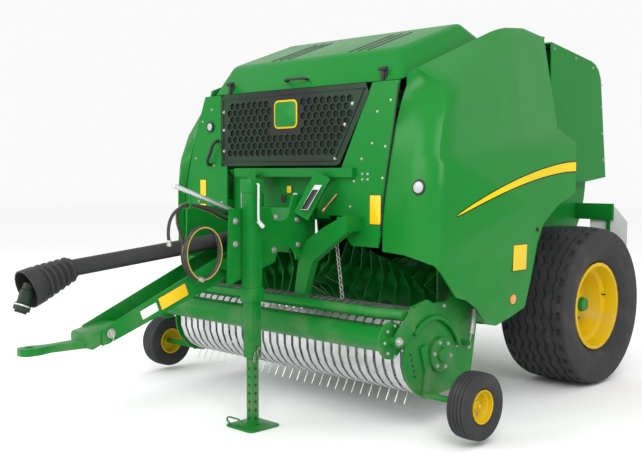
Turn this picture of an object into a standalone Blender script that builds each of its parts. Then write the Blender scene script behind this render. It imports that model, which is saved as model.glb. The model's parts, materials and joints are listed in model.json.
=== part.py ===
"""Round baler with a fixed round chamber, parked on its stand: drawbar towards -Y, its left side at +X, metres."""

import math

import bmesh
import bpy
from mathutils import Matrix, Vector

# Overall layout. The axle's place puts the middle of the whole length at Y = 0.
AXLE_Y = 1.3970
TYRE_R = 0.54
TYRE_W = 0.50
TYRE_X = 0.93
RIM_R = 0.298
GAP = 0.0003  # between pieces that touch
CLEAR = 0.007  # between pieces that move past each other

# Bale chamber and its walls.
WALL_IN = 0.615
WALL_T = 0.012
CHAMBER_R = 0.63
CHAMBER_Y = AXLE_Y + 0.06
CHAMBER_Z = 1.42
SHELL_T = 0.012
WALL_FRONT = AXLE_Y - 1.45
NET_HALF = 0.640
WALL_TOP_FRONT = 2.19
WALL_TOP_REAR = 2.335
FRAME_TOP = 0.62
SHELF_Z = 1.12
SPLIT_Y = AXLE_Y + 0.05
FEED_BACK = AXLE_Y - 0.99

# Tailgate.
TAIL_REAR = AXLE_Y + 0.888
TAIL_TOP_FRONT_Z = 2.375
TAIL_HINGE_Y = SPLIT_Y + 0.03
TAIL_HINGE_Z = TAIL_TOP_FRONT_Z - 0.010
TAIL_TOP_REAR_Z = 2.285
TAIL_SHIELD_X = 0.700
TAIL_SHIELD_BOTTOM = 1.40
TAIL_SIDE_R = 0.665

# Front of the body and the hood.
FRONT_Y = AXLE_Y - 1.80
FRONT_TOP = 1.97
PANEL_T = 0.012
HOOD_FRONT_LOW = (AXLE_Y - 1.752, 1.980)
HOOD_FRONT_TOP = (AXLE_Y - 1.655, 2.176)
HOOD_PEAK = (AXLE_Y - 1.085, 2.378)
HOOD_REAR = (AXLE_Y - 0.90, 2.300)
HOOD_TOP_HALF = 0.750
HOOD_LOW_HALF = 0.838
HOOD_T = 0.010

# The grille's edges, from its left to its two right corners.
GRILLE_LEFT = -0.700
GRILLE_TOP_RIGHT = 0.655
GRILLE_LOW_RIGHT = 0.405

# Side covers: half width at the middle and the two seams with the front panels.
COVER_X = 1.186
COVER_T = 0.012
SEAM_LEFT_TOP = 0.860
SEAM_LEFT_LOW = 0.725
SEAM_RIGHT_TOP = 0.870
SEAM_RIGHT_LOW = 1.110

# Drawbar, stand and power shaft.
EYE_Y = AXLE_Y - 3.60
EYE_Z = 0.572
DRAW_PIVOT = (AXLE_Y - 3.27, 0.597)
DRAW_REAR = (AXLE_Y - 2.20, 1.005)
DRAW_HALF = 0.10
DRAW_FRONT_H = 0.085
DRAW_REAR_H = 0.175
DRAW_T = 0.010
MAST_X = 0.20
MAST_T = 0.012
STAND_Y = AXLE_Y - 2.36
STAND_TOP = 1.41
STAND_SIDE = 0.082
COLLAR_T = 0.008
STAND_X = MAST_X + GAP + COLLAR_T + STAND_SIDE / 2
SLEEVE_SIDE = 0.074
LEG_SIDE = 0.050
GEARBOX_Y = AXLE_Y - 1.96
SHAFT_REAR = (AXLE_Y - 2.13, 1.082)
SHAFT_FRONT = (AXLE_Y - 3.36, 0.967)
SHAFT_R = 0.044
BELL_R = 0.100
BELL_TIP = (AXLE_Y - 3.612, 0.880)
YOKE_TOP = (AXLE_Y - 3.592, 0.905)
YOKE_TIP = (AXLE_Y - 3.647, 0.768)
YOKE_R = 0.042

# Pickup, its roller, and the feed rotor.
PICK_Y = AXLE_Y - 1.70
PICK_Z = 0.44
BAND_R = 0.240
BAND_T = 0.006
BAND_HALF = 1.000
BAND_COUNT = 30
BAND_W = 0.046
REEL_Z = PICK_Z - 0.035
TINE_TIP_R = 0.285
TINE_R = 0.003
ROTOR_Y = AXLE_Y - 1.30
ROTOR_Z = 0.78
ROTOR_R = 0.215
ROTOR_HALF = 0.850
FEED_SIDE_X = 0.870
PICK_SIDE_X = 1.018
TUBE_Y = AXLE_Y - 1.985
TUBE_Z = 0.68
TUBE_R = 0.032
BRACKET_T = 0.012
ARM_PIVOT = (AXLE_Y - 1.885, 0.678)
ROLLER_Y = AXLE_Y - 2.035
ROLLER_Z = 0.550
ROLLER_R = 0.068
ROLLER_FLANGE_R = 0.102
ROLLER_HALF = PICK_SIDE_X - CLEAR
GAUGE_X = 1.375
GAUGE_Y = AXLE_Y - 1.775
GAUGE_R = 0.183
GAUGE_W = 0.125
GAUGE_RIM_R = 0.0925
GAUGE_LIFT = 0.032  # the gauge wheels hang this high over the ground

# Hoses over the drawbar: the block they leave, the hook they hang on and their routes as (x, y, z).
HOSE_R = 0.009
VALVE_LO = (0.090, AXLE_Y - 2.395, 1.170)
VALVE_HI = (MAST_X - MAST_T - GAP, AXLE_Y - 2.330, 1.240)
HOOK_Y = AXLE_Y - 2.74
HOOK_Z = 1.262
HOOK_R = 0.005
HOLDER_ROOT = (0.180, AXLE_Y - 2.40, 1.225)
HOLDER_TIP = (0.180, AXLE_Y - 2.85, 1.385)
COIL_Y = AXLE_Y - 2.635
COIL_Z = 1.005
COIL_RADII = (0.125, 0.145)
COIL_TURNS = 2

PARTS = None
CUTTERS = None
FINISHES = {}


def start():
    """Clears the scene and makes the collection of parts and that of cutters."""
    global PARTS, CUTTERS
    for obj in list(bpy.data.objects):
        bpy.data.objects.remove(obj)
    PARTS = bpy.data.collections.new("round_baler")
    CUTTERS = bpy.data.collections.new("cutters")
    bpy.context.scene.collection.children.link(PARTS)
    bpy.context.scene.collection.children.link(CUTTERS)
    CUTTERS.hide_render = True
    for name, colour, roughness, metallic in (
        ("green", (0.010, 0.270, 0.040), 0.35, 0.0),
        ("yellow", (0.90, 0.62, 0.01), 0.40, 0.0),
        ("tyre", (0.030, 0.031, 0.033), 0.85, 0.0),
        ("grille", (0.060, 0.055, 0.052), 0.50, 0.2),
        ("steel", (0.62, 0.62, 0.62), 0.30, 1.0),
        ("dark", (0.045, 0.043, 0.045), 0.55, 0.0),
        ("black", (0.012, 0.012, 0.013), 0.60, 0.0),
        ("white", (0.80, 0.80, 0.78), 0.45, 0.0),
        ("stripe", (0.45, 0.33, 0.04), 0.55, 0.0),
    ):
        mat = bpy.data.materials.new(name)
        mat.use_nodes = True
        shader = mat.node_tree.nodes["Principled BSDF"]
        shader.inputs["Base Color"].default_value = (*colour, 1.0)
        shader.inputs["Roughness"].default_value = roughness
        shader.inputs["Metallic"].default_value = metallic
        FINISHES[name] = mat


def mesh_object(name, mesh):
    obj = bpy.data.objects.new(name, mesh)
    PARTS.objects.link(obj)
    return obj


def from_bmesh(name, bm):
    mesh = bpy.data.meshes.new(name)
    bm.to_mesh(mesh)
    bm.free()
    return mesh_object(name, mesh)


def box(name, lo, hi):
    """A closed box between two corners."""
    bm = bmesh.new()
    bmesh.ops.create_cube(bm, size=1.0)
    size = [b - a for a, b in zip(lo, hi)]
    mid = [(a + b) / 2 for a, b in zip(lo, hi)]
    bmesh.ops.scale(bm, vec=size, verts=bm.verts)
    bmesh.ops.translate(bm, vec=mid, verts=bm.verts)
    return from_bmesh(name, bm)


def bar(name, a, b, width, height):
    """A square-cut bar from a to b, its height square to its run and nearest to up."""
    a, b = Vector(a), Vector(b)
    run = (b - a).normalized()
    up = Vector((0, 0, 1)) if abs(run.z) < 0.99 else Vector((0, 1, 0))
    side = run.cross(up).normalized()
    up = side.cross(run)
    bm = bmesh.new()
    bmesh.ops.create_cube(bm, size=1.0)
    bmesh.ops.scale(bm, vec=(width, (b - a).length, height), verts=bm.verts)
    turn = Matrix((side, run, up)).transposed().to_4x4()
    turn.translation = (a + b) / 2
    bmesh.ops.transform(bm, matrix=turn, verts=bm.verts)
    return from_bmesh(name, bm)


def rod(name, a, b, r, sides=16, r_end=None):
    """A round rod or a cone between two points."""
    a, b = Vector(a), Vector(b)
    bm = bmesh.new()
    bmesh.ops.create_cone(bm, cap_ends=True, segments=sides, radius1=r,
                          radius2=r if r_end is None else r_end, depth=(b - a).length)
    turn = (b - a).to_track_quat("Z", "X").to_matrix().to_4x4()
    turn.translation = (a + b) / 2
    bmesh.ops.transform(bm, matrix=turn, verts=bm.verts)
    return from_bmesh(name, bm)


def real_mesh(obj):
    """Turns a curve, or an object with modifiers, into a plain welded mesh where it stands."""
    bpy.context.view_layer.update()
    graph = bpy.context.evaluated_depsgraph_get()
    mesh = bpy.data.meshes.new_from_object(obj.evaluated_get(graph))
    made = mesh_object(obj.name + "_mesh", mesh)
    made.matrix_world = obj.matrix_world
    mesh.transform(obj.matrix_world)
    made.matrix_world = Matrix.Identity(4)
    bm = bmesh.new()
    bm.from_mesh(mesh)
    bmesh.ops.remove_doubles(bm, verts=bm.verts, dist=0.00001)
    bmesh.ops.recalc_face_normals(bm, faces=bm.faces)
    bm.to_mesh(mesh)
    bm.free()
    name = obj.name
    bpy.data.objects.remove(obj)
    made.name = name
    return made


def outline(name, rings, thickness, place):
    """A flat plate: closed rings of (u, v), the first its edge and the rest its holes, in the plane of place."""
    curve = bpy.data.curves.new(name, "CURVE")
    curve.dimensions = "2D"
    curve.fill_mode = "BOTH"
    curve.extrude = thickness / 2
    for ring in rings:
        spline = curve.splines.new("POLY")
        spline.points.add(len(ring) - 1)
        for point, (u, v) in zip(spline.points, ring):
            point.co = (u, v, 0, 1)
        spline.use_cyclic_u = True
    obj = bpy.data.objects.new(name, curve)
    PARTS.objects.link(obj)
    obj.matrix_world = place
    return real_mesh(obj)


def side_plate(name, rings, x0, x1):
    """A plate square to X from x0 to x1, drawn by its (y, z) rings."""
    place = Matrix(((0, 0, 1, (x0 + x1) / 2), (1, 0, 0, 0), (0, 1, 0, 0), (0, 0, 0, 1)))
    return outline(name, rings, abs(x1 - x0), place)


def front_plate(name, rings, y0, y1):
    """A plate square to Y from y0 to y1, drawn by its (x, z) rings."""
    place = Matrix(((1, 0, 0, 0), (0, 0, -1, (y0 + y1) / 2), (0, 1, 0, 0), (0, 0, 0, 1)))
    return outline(name, rings, abs(y1 - y0), place)


def flat_plate(name, rings, z0, z1):
    """A level plate from z0 to z1, drawn by its (x, y) rings."""
    return outline(name, rings, abs(z1 - z0), Matrix.Translation((0, 0, (z0 + z1) / 2)))


def ring(cy, cz, r, count=24, start_deg=0.0):
    """The points of a circle."""
    return [(cy + r * math.cos(math.radians(start_deg) + 2 * math.pi * i / count),
             cz + r * math.sin(math.radians(start_deg) + 2 * math.pi * i / count)) for i in range(count)]


def arc(cy, cz, r, a0, a1, count):
    """The points of an arc from a0 to a1 degrees."""
    return [(cy + r * math.cos(math.radians(a0 + (a1 - a0) * i / count)),
             cz + r * math.sin(math.radians(a0 + (a1 - a0) * i / count))) for i in range(count + 1)]


def rounded(points, r, steps=4):
    """A closed ring with each of its corners turned to an arc of radius r, or less where an edge is short."""
    made = []
    n = len(points)
    for i, p in enumerate(points):
        p = Vector(p)
        a, b = Vector(points[i - 1]) - p, Vector(points[(i + 1) % n]) - p
        angle = a.angle(b)
        if abs(math.pi - angle) < 0.05:
            made.append(tuple(p))
            continue
        cut = min(r / math.tan(angle / 2), 0.45 * a.length, 0.45 * b.length)
        radius = cut * math.tan(angle / 2)
        centre = p + (a.normalized() + b.normalized()).normalized() * (radius / math.sin(angle / 2))
        u, v = p + a.normalized() * cut - centre, p + b.normalized() * cut - centre
        turn = math.atan2(u.x * v.y - u.y * v.x, u.dot(v))
        for k in range(steps + 1):
            t = turn * k / steps
            made.append((centre.x + u.x * math.cos(t) - u.y * math.sin(t),
                         centre.y + u.x * math.sin(t) + u.y * math.cos(t)))
    return made


def bend(points, thickness):
    """A strip's closed outline: the open line of points, and the same line set off by the thickness."""
    pts = [Vector(p) for p in points]
    off = []
    for i, p in enumerate(pts):
        before = (p - pts[i - 1]).normalized() if i else None
        after = (pts[i + 1] - p).normalized() if i < len(pts) - 1 else None
        before = before or after
        after = after or before
        n0, n1 = Vector((-before.y, before.x)), Vector((-after.y, after.x))
        mid = (n0 + n1).normalized()
        off.append(p + mid * (thickness / max(0.3, mid.dot(n0))))
    return [tuple(p) for p in pts] + [tuple(p) for p in reversed(off)]


def turned(name, profile, centre, steps=32):
    """A body of revolution about the X axis through centre: profile holds (x, r), from -X to +X."""
    mesh = bpy.data.meshes.new(name)
    mesh.from_pydata([(r, 0, -x) for x, r in profile], [(i, i + 1) for i in range(len(profile) - 1)], [])
    obj = mesh_object(name, mesh)
    screw = obj.modifiers.new("turn", "SCREW")
    screw.steps = screw.render_steps = steps
    screw.use_merge_vertices = True
    screw.merge_threshold = 0.0001
    screw.use_normal_calculate = True
    obj.matrix_world = Matrix.Translation(centre) @ Matrix.Rotation(-math.pi / 2, 4, "Y")
    return real_mesh(obj)


def along(obj, a, b):
    """Moves a body turned about X at the origin so that its -X end is at a and its axis runs to b."""
    turn = (Vector(b) - Vector(a)).to_track_quat("X", "Z").to_matrix().to_4x4()
    turn.translation = a
    obj.data.transform(turn)
    return obj


def tube(name, points, r, sides=2):
    """A round tube or cord along points, with closed ends."""
    curve = bpy.data.curves.new(name, "CURVE")
    curve.dimensions = "3D"
    curve.bevel_depth = r
    curve.bevel_resolution = sides
    curve.use_fill_caps = True
    spline = curve.splines.new("POLY")
    spline.points.add(len(points) - 1)
    for point, p in zip(spline.points, points):
        point.co = (*p, 1)
    obj = bpy.data.objects.new(name, curve)
    PARTS.objects.link(obj)
    return real_mesh(obj)


def smooth_route(points, count):
    """Evenly placed points of a smooth curve through the route points."""
    pts = [Vector(p) for p in points]
    pts = [2 * pts[0] - pts[1], *pts, 2 * pts[-1] - pts[-2]]
    dense = []
    for i in range(1, len(pts) - 2):
        for k in range(24):
            t = k / 24
            a, b, c, d = pts[i - 1: i + 3]
            dense.append(0.5 * (2 * b + (c - a) * t + (2 * a - 5 * b + 4 * c - d) * t ** 2
                                + (3 * b - a - 3 * c + d) * t ** 3))
    dense.append(pts[-2])
    length = [0.0]
    for a, b in zip(dense, dense[1:]):
        length.append(length[-1] + (b - a).length)
    made, at = [], 0
    for k in range(count):
        want = length[-1] * k / (count - 1)
        while at < len(dense) - 2 and length[at + 1] < want:
            at += 1
        span = length[at + 1] - length[at]
        t = 0 if span == 0 else (want - length[at]) / span
        made.append(tuple(dense[at].lerp(dense[at + 1], min(1.0, max(0.0, t)))))
    return made


def combine(base, others, operation="UNION"):
    """Joins the others to the base, or cuts them from it, with Boolean modifiers on hidden helpers."""
    for i, other in enumerate(others):
        PARTS.objects.unlink(other)
        CUTTERS.objects.link(other)
        other.hide_render = True
        other.display_type = "WIRE"
        other.name = f"{base.name}_{operation.lower()}_{i}"
        mod = base.modifiers.new(other.name, "BOOLEAN")
        mod.operation = operation
        mod.solver = "EXACT"
        mod.object = other
    return base


def finish(obj, name, finish_name, body=None, smooth=None):
    """Names a part, gives it its material, its shading and the parent that carries it."""
    obj.name = name
    obj.data.materials.clear()
    obj.data.materials.append(FINISHES[finish_name])
    if smooth is not None:
        obj.data.shade_smooth()
        obj.data.set_sharp_from_angle(angle=math.radians(smooth))
    if body is not None:
        obj.parent = body
        obj.matrix_parent_inverse = body.matrix_world.inverted()
    return obj


def pivot(name, place, parent=None):
    """An empty on a joint's axis, which carries that joint's pieces."""
    empty = bpy.data.objects.new(name, None)
    PARTS.objects.link(empty)
    empty.empty_display_size = 0.1
    empty.location = place
    bpy.context.view_layer.update()
    if parent is not None:
        empty.parent = parent
        empty.matrix_parent_inverse = parent.matrix_world.inverted()
        bpy.context.view_layer.update()
    return empty


def wheel(name, place, r, w, rim_r, out, steps, parent=None):
    """A tyre, and its dished rim and hub, on one axle line; out is +1 or -1, the side its hub cap is on."""
    body = pivot(name + "_axis", place, parent)
    bead, wall = rim_r - 0.04 * rim_r, 0.82 * r + 0.18 * rim_r
    low, high = rim_r + 0.25 * (r - rim_r), rim_r + 0.55 * (r - rim_r)
    half = [(0.36, bead + GAP), (0.47, low), (0.50, high), (0.48, wall), (0.42, 0.975 * r), (0.25, 0.993 * r)]
    ring_line = [(-x * w, q) for x, q in half] + [(0, r)] + [(x * w, q) for x, q in reversed(half)]
    tyre = turned(name + "_tyre", ring_line + ring_line[:1], place, steps)
    finish(tyre, name + "_tyre", "tyre", body, 40)
    flange = 0.36 * w + 0.03 * rim_r + 0.003
    dish = [
        (-0.10 * w, 0), (-0.10 * w, 0.34 * rim_r), (-0.03 * w, 0.34 * rim_r), (-0.03 * w, 0.78 * rim_r),
        (-flange - 0.02 * w, 0.90 * rim_r), (-flange - 0.02 * w, rim_r), (-flange, rim_r), (-flange, bead),
        (flange, bead), (flange, rim_r), (flange + 0.02 * w, rim_r), (flange + 0.02 * w, 0.92 * rim_r),
        (0.24 * w, 0.86 * rim_r), (0.20 * w, 0.78 * rim_r), (0.0, 0.66 * rim_r), (0.0, 0.34 * rim_r),
        (0.11 * w, 0.30 * rim_r), (0.16 * w, 0.17 * rim_r), (0.16 * w, 0),
    ]
    if out < 0:
        dish = [(-x, q) for x, q in reversed(dish)]
    rim = turned(name + "_rim", dish, place, steps)
    finish(rim, name + "_rim", "yellow", body, 30)
    return body


def two_sides(make):
    """Makes a piece for the left side, at +X, and its mirror for the right."""
    make("left", 1)
    make("right", -1)


def x_plate(name, rings, sign, inner, thickness):
    """A side plate whose inner face is at sign * inner."""
    x0, x1 = sorted((sign * inner, sign * (inner + thickness)))
    return side_plate(name, rings, x0, x1)


def build_frame():
    """The frame: axle beam with its spindles, rails, cross member, feed side plates and front posts."""
    axle_h = 0.14
    base = box("main_frame", (-0.655, AXLE_Y - 0.06, FRAME_TOP - axle_h), (0.655, AXLE_Y + 0.06, FRAME_TOP))
    more = []
    hub_face = TYRE_X - 0.10 * TYRE_W - GAP
    front = (FEED_BACK, FEED_BACK + 0.07)
    more.append(box("cross", (-FEED_SIDE_X - 0.005, front[0], 0.50), (FEED_SIDE_X + 0.005, front[1], FRAME_TOP)))
    for s in (1, -1):
        more.append(rod("spindle", (s * 0.60, AXLE_Y, TYRE_R), (s * hub_face, AXLE_Y, TYRE_R), 0.038, 20))
        lo, hi = sorted((s * 0.590, s * 0.650))
        more.append(box("rail", (lo, front[0] + 0.01, 0.50), (hi, AXLE_Y, FRAME_TOP - 0.004)))
        side = rounded([(ROTOR_Y - 0.16, 0.60), (FEED_BACK + 0.07, 0.50), (FEED_BACK + 0.07, SHELF_Z),
                        (ROTOR_Y - 0.16, SHELF_Z)], 0.04)
        more.append(x_plate("feed_side", [side], s, FEED_SIDE_X, 0.012))
        lo, hi = sorted((s * (WALL_IN + WALL_T + GAP), s * (FEED_SIDE_X + 0.006)))
        more.append(box("shelf", (lo, ROTOR_Y - 0.155, SHELF_Z - 0.012), (hi, FEED_BACK + 0.065, SHELF_Z - 0.001)))
        more.append(rod("pin", (s * (FEED_SIDE_X + 0.004), ROTOR_Y, ROTOR_Z),
                        (s * (PICK_SIDE_X - GAP), ROTOR_Y, ROTOR_Z), 0.040, 20))
        lo, hi = sorted((s * (NET_HALF + 0.010), s * 0.705))
        more.append(box("post", (lo, ROTOR_Y - 0.15, SHELF_Z - 0.01), (hi, ROTOR_Y - 0.09, FRONT_TOP - 0.03)))
        for z in (SHELF_Z + 0.10, FRONT_TOP - 0.14):
            more.append(box("arm", (lo + 0.005, FRONT_Y + PANEL_T + GAP, z), (hi - 0.005, ROTOR_Y - 0.12, z + 0.05)))
    finish(combine(base, more), "main_frame", "green", None, 30)


def wall_top(y):
    """The height of the fixed walls' top edge at y."""
    t = (y - WALL_FRONT) / (SPLIT_Y - WALL_FRONT)
    return WALL_TOP_FRONT + (WALL_TOP_REAR - WALL_TOP_FRONT) * t


def build_chamber():
    """The fixed half of the bale chamber: two walls, the front drum sheet, the feed floor and the roof."""
    low = FRAME_TOP + GAP

    def wall(side, s):
        ring_line = [(WALL_FRONT, SHELF_Z - 0.014), (FEED_BACK + 0.03, SHELF_Z - 0.014), (FEED_BACK + 0.09, low),
                     (SPLIT_Y, low), (SPLIT_Y, wall_top(SPLIT_Y)), (WALL_FRONT, WALL_TOP_FRONT)]
        finish(x_plate("wall", [ring_line], s, WALL_IN, WALL_T), f"chamber_wall_{side}", "green")

    two_sides(wall)
    inside = WALL_IN - GAP
    drum = bend(arc(CHAMBER_Y, CHAMBER_Z, CHAMBER_R + SHELL_T, 91, 200, 18), SHELL_T)
    finish(side_plate("drum", [drum], -inside, inside), "chamber_front_drum", "green", None, 40)
    lead = [(ROTOR_Y + ROTOR_R + 0.03, 0.665), (CHAMBER_Y - 0.55, 0.79)]
    floor = bend(lead + arc(CHAMBER_Y, CHAMBER_Z, CHAMBER_R + SHELL_T, 236, 267, 6), SHELL_T)
    finish(side_plate("floor", [floor], -inside, inside), "feed_floor", "green", None, 40)
    roof_front, roof_back = HOOD_REAR[0] + 0.03, SPLIT_Y - 0.004
    roof = bend([(roof_front, wall_top(roof_front) + GAP), (roof_back, wall_top(roof_back) + GAP)], 0.010)
    finish(side_plate("roof", [roof], -WALL_IN - 0.06, WALL_IN + 0.06), "roof_panel", "green")


def seam_x(s, z):
    """The half width at height z of the seam between a front panel and the side cover: s is +1 left, -1 right."""
    low, top, bow = ((SEAM_LEFT_LOW, SEAM_LEFT_TOP, 1.0), (SEAM_RIGHT_LOW, SEAM_RIGHT_TOP, 1.4))[s < 0]
    return low + (top - low) * min(1.0, max(0.0, (z - 1.22) / (FRONT_TOP - 1.22))) ** bow


def build_front():
    """The front: net box behind the grille, the left, centre and right panels, and the grille."""
    back = FRONT_Y + PANEL_T
    box_path = [(back + 0.07, 1.19), (WALL_FRONT - 0.006, 1.19), (WALL_FRONT - 0.006, 2.10)]
    finish(side_plate("net", [bend(box_path, 0.008)], -NET_HALF, NET_HALF), "net_box", "dark")
    low_z, grille_low = 1.02, 1.495
    heights = [1.10, 1.22, 1.40, 1.60, 1.80, FRONT_TOP]
    left = [(GRILLE_LOW_RIGHT + 0.008, grille_low - 0.02), (0.272, grille_low - 0.02), (0.272, 1.195), (0.448, 1.195),
            (0.455, 1.07), (0.50, low_z), (SEAM_LEFT_LOW - 0.02, low_z)]
    left += [(seam_x(1, z), z) for z in heights] + [(GRILLE_TOP_RIGHT + 0.008, FRONT_TOP)]
    finish(front_plate("left", [left], FRONT_Y, back), "front_panel_left", "green")
    edge, inner = GRILLE_LEFT - 0.005, -NET_HALF - 0.004
    right = [(-seam_x(-1, z), z) for z in heights] + [(edge, FRONT_TOP), (edge, grille_low), (inner, grille_low), (inner, 1.16),
                                                      (-0.45, 1.16), (-0.45, 1.08)]
    finish(front_plate("right", [right], FRONT_Y, back), "front_panel_right", "green")
    centre = bend([(back + 0.004, grille_low - 0.03), (back + 0.045, grille_low - 0.07), (back + 0.045, 1.17)], 0.008)
    finish(side_plate("centre", [centre], -NET_HALF, 0.270), "front_panel_centre", "green")
    grille = rounded([(GRILLE_LEFT, FRONT_TOP), (GRILLE_LEFT - 0.0, grille_low), (GRILLE_LOW_RIGHT, grille_low),
                      (GRILLE_TOP_RIGHT, FRONT_TOP)], 0.05)
    finish(front_plate("grille", [grille], FRONT_Y - 0.004, FRONT_Y + 0.004), "grille_panel", "grille")


def shell(name, points, faces, thickness, rounding):
    """A sheet-metal shell: an open skin of points and faces, its edges rounded, made solid inwards."""
    bm = bmesh.new()
    verts = [bm.verts.new(p) for p in points]
    for face in faces:
        bm.faces.new([verts[i] for i in face])
    bmesh.ops.recalc_face_normals(bm, faces=bm.faces)
    obj = from_bmesh(name, bm)
    if rounding:
        mod = obj.modifiers.new("round", "BEVEL")
        mod.width = rounding
        mod.segments = 3
        mod.limit_method = "ANGLE"
        mod.angle_limit = math.radians(20)
    mod = obj.modifiers.new("thick", "SOLIDIFY")
    mod.thickness = thickness
    mod.offset = -1
    mod.use_even_offset = True
    return real_mesh(obj)


def build_hood():
    """The hood over the net box: one shell, hinged along its rear edge."""
    body = pivot("hood_axis", (0, HOOD_REAR[0], HOOD_REAR[1] - 0.02))
    points = []
    for s in (1, -1):
        points += [(s * HOOD_LOW_HALF, *HOOD_FRONT_LOW), (s * HOOD_TOP_HALF, *HOOD_FRONT_TOP),
                   (s * (HOOD_TOP_HALF + 0.006), *HOOD_PEAK), (s * (HOOD_TOP_HALF + 0.02), *HOOD_REAR)]
    faces = [(0, 1, 5, 4), (1, 2, 6, 5), (2, 3, 7, 6), (0, 3, 2, 1), (4, 5, 6, 7)]
    hood = shell("hood", points, faces, HOOD_T, 0.035)
    finish(hood, "hood", "green", body, 35)


def cover_top(y):
    """The side cover's top edge at y: half width and height."""
    t = (y - HOOD_FRONT_LOW[0]) / (HOOD_REAR[0] - HOOD_FRONT_LOW[0])
    if t < 1:
        return 0.866 - 0.050 * t, 2.012 + 0.312 * t
    u = min(1.0, (y - HOOD_REAR[0]) / 0.67)
    return 0.816, 2.324 + 0.040 * u + 0.21 * u * (1 - u)


def lean(z):
    """How far the front of a side cover leans back at height z."""
    return 0.15 * (max(0.0, min(z, 1.955) - 1.30) / 0.56) ** 2


def cover_front(s, k):
    """Column k of a side cover's front, 0 at the seam with the front panel and 2 at the corner."""
    low, y0 = (1.00, 0.995, 0.95)[k], FRONT_Y - 0.045
    column = []
    for z in (low, low + (1.50 - low) / 3, 1.50 - (1.50 - low) / 3, 1.50, 1.55, 1.715, 1.88, 1.945):
        seam = seam_x(s, z) + CLEAR + 0.006
        corner = 1.14 - 0.11 * max(0.0, (z - 1.45) / 0.5) ** 2.5
        y = y0 + lean(z) + (0.0, 0.0, 0.006)[k]
        if k == 0:
            y = FRONT_Y + 0.004 + 0.06 * max(0.0, (z - 1.62) / 0.35) ** 2
        column.append((seam + (corner - seam) * k / 2, y, z))
    y = HOOD_FRONT_LOW[0] + 0.007 + 0.045 * k
    top_x, top_z = cover_top(y)
    return column + [(top_x + CLEAR, y, top_z)]


def cover_side(rel, z_low):
    """The column of a side cover that starts at its lower edge at rel behind the axle and ends at its top edge."""
    t = (rel + 1.80) / 1.38
    z_out = 1.50 + 0.14 * t
    crease, shoulder = (1.15 - 0.15 * t, z_out + 0.05 + 0.055 * t), (1.11 - 0.28 * t, 1.88 + 0.47 * t)
    heights = [z_low + (z_out - z_low) * i / 3 for i in range(4)]
    rows = [(COVER_X - 0.045 * max(0.0, (1.35 - z) / 0.8) ** 2, z) for z in heights]
    rows += [crease, ((crease[0] + shoulder[0]) / 2, (crease[1] + shoulder[1]) / 2), shoulder]
    column = []
    for (x, z), back in zip(rows, (0, 0, 0, 0, 0.08, 0.13, 0.18)):
        column.append((x, AXLE_Y + rel + lean(z) * max(0.0, 1 - 2.5 * t) + back * t ** 2, z))
    y = AXLE_Y + rel + lean(1.955) * max(0.0, 1 - 2.5 * t) + 0.19 * t ** 2
    top_x, top_z = cover_top(y)
    x, y_low, z = column[-1]
    column.append(((x + top_x) / 2 + 0.010, (y_low + y) / 2, (z + top_z) / 2 + 0.012))
    return column + [(top_x + CLEAR, y, top_z)]


def build_covers():
    """The two moulded side covers, each hinged along a line near its top edge."""
    bottom = [(-1.80, 0.90), (-1.66, 0.76), (-1.56, 0.735), (-1.45, 0.675), (-1.345, 0.572), (-1.24, 0.552),
              (-1.10, 0.585), (-0.945, 0.632), (-0.905, 0.80), (-0.86, 1.01), (-0.80, 1.135), (-0.63, 1.25),
              (-0.42, 1.32)]

    def cover(side, s):
        columns = [cover_front(s, k) for k in range(3)] + [cover_side(rel, z) for rel, z in bottom]
        rows = len(columns[0])
        points = [(s * x, y, z) for column in columns for x, y, z in column]
        faces = [(c * rows + r, (c + 1) * rows + r, (c + 1) * rows + r + 1, c * rows + r + 1)
                 for c in range(len(columns) - 1) for r in range(rows - 1)]
        body = pivot(f"side_cover_{side}_axis", (s * 0.85, AXLE_Y - 0.9, 2.30))
        obj = shell("cover", points, faces, COVER_T, 0)
        finish(obj, f"side_cover_{side}", "green", body, 60)

    two_sides(cover)


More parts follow.
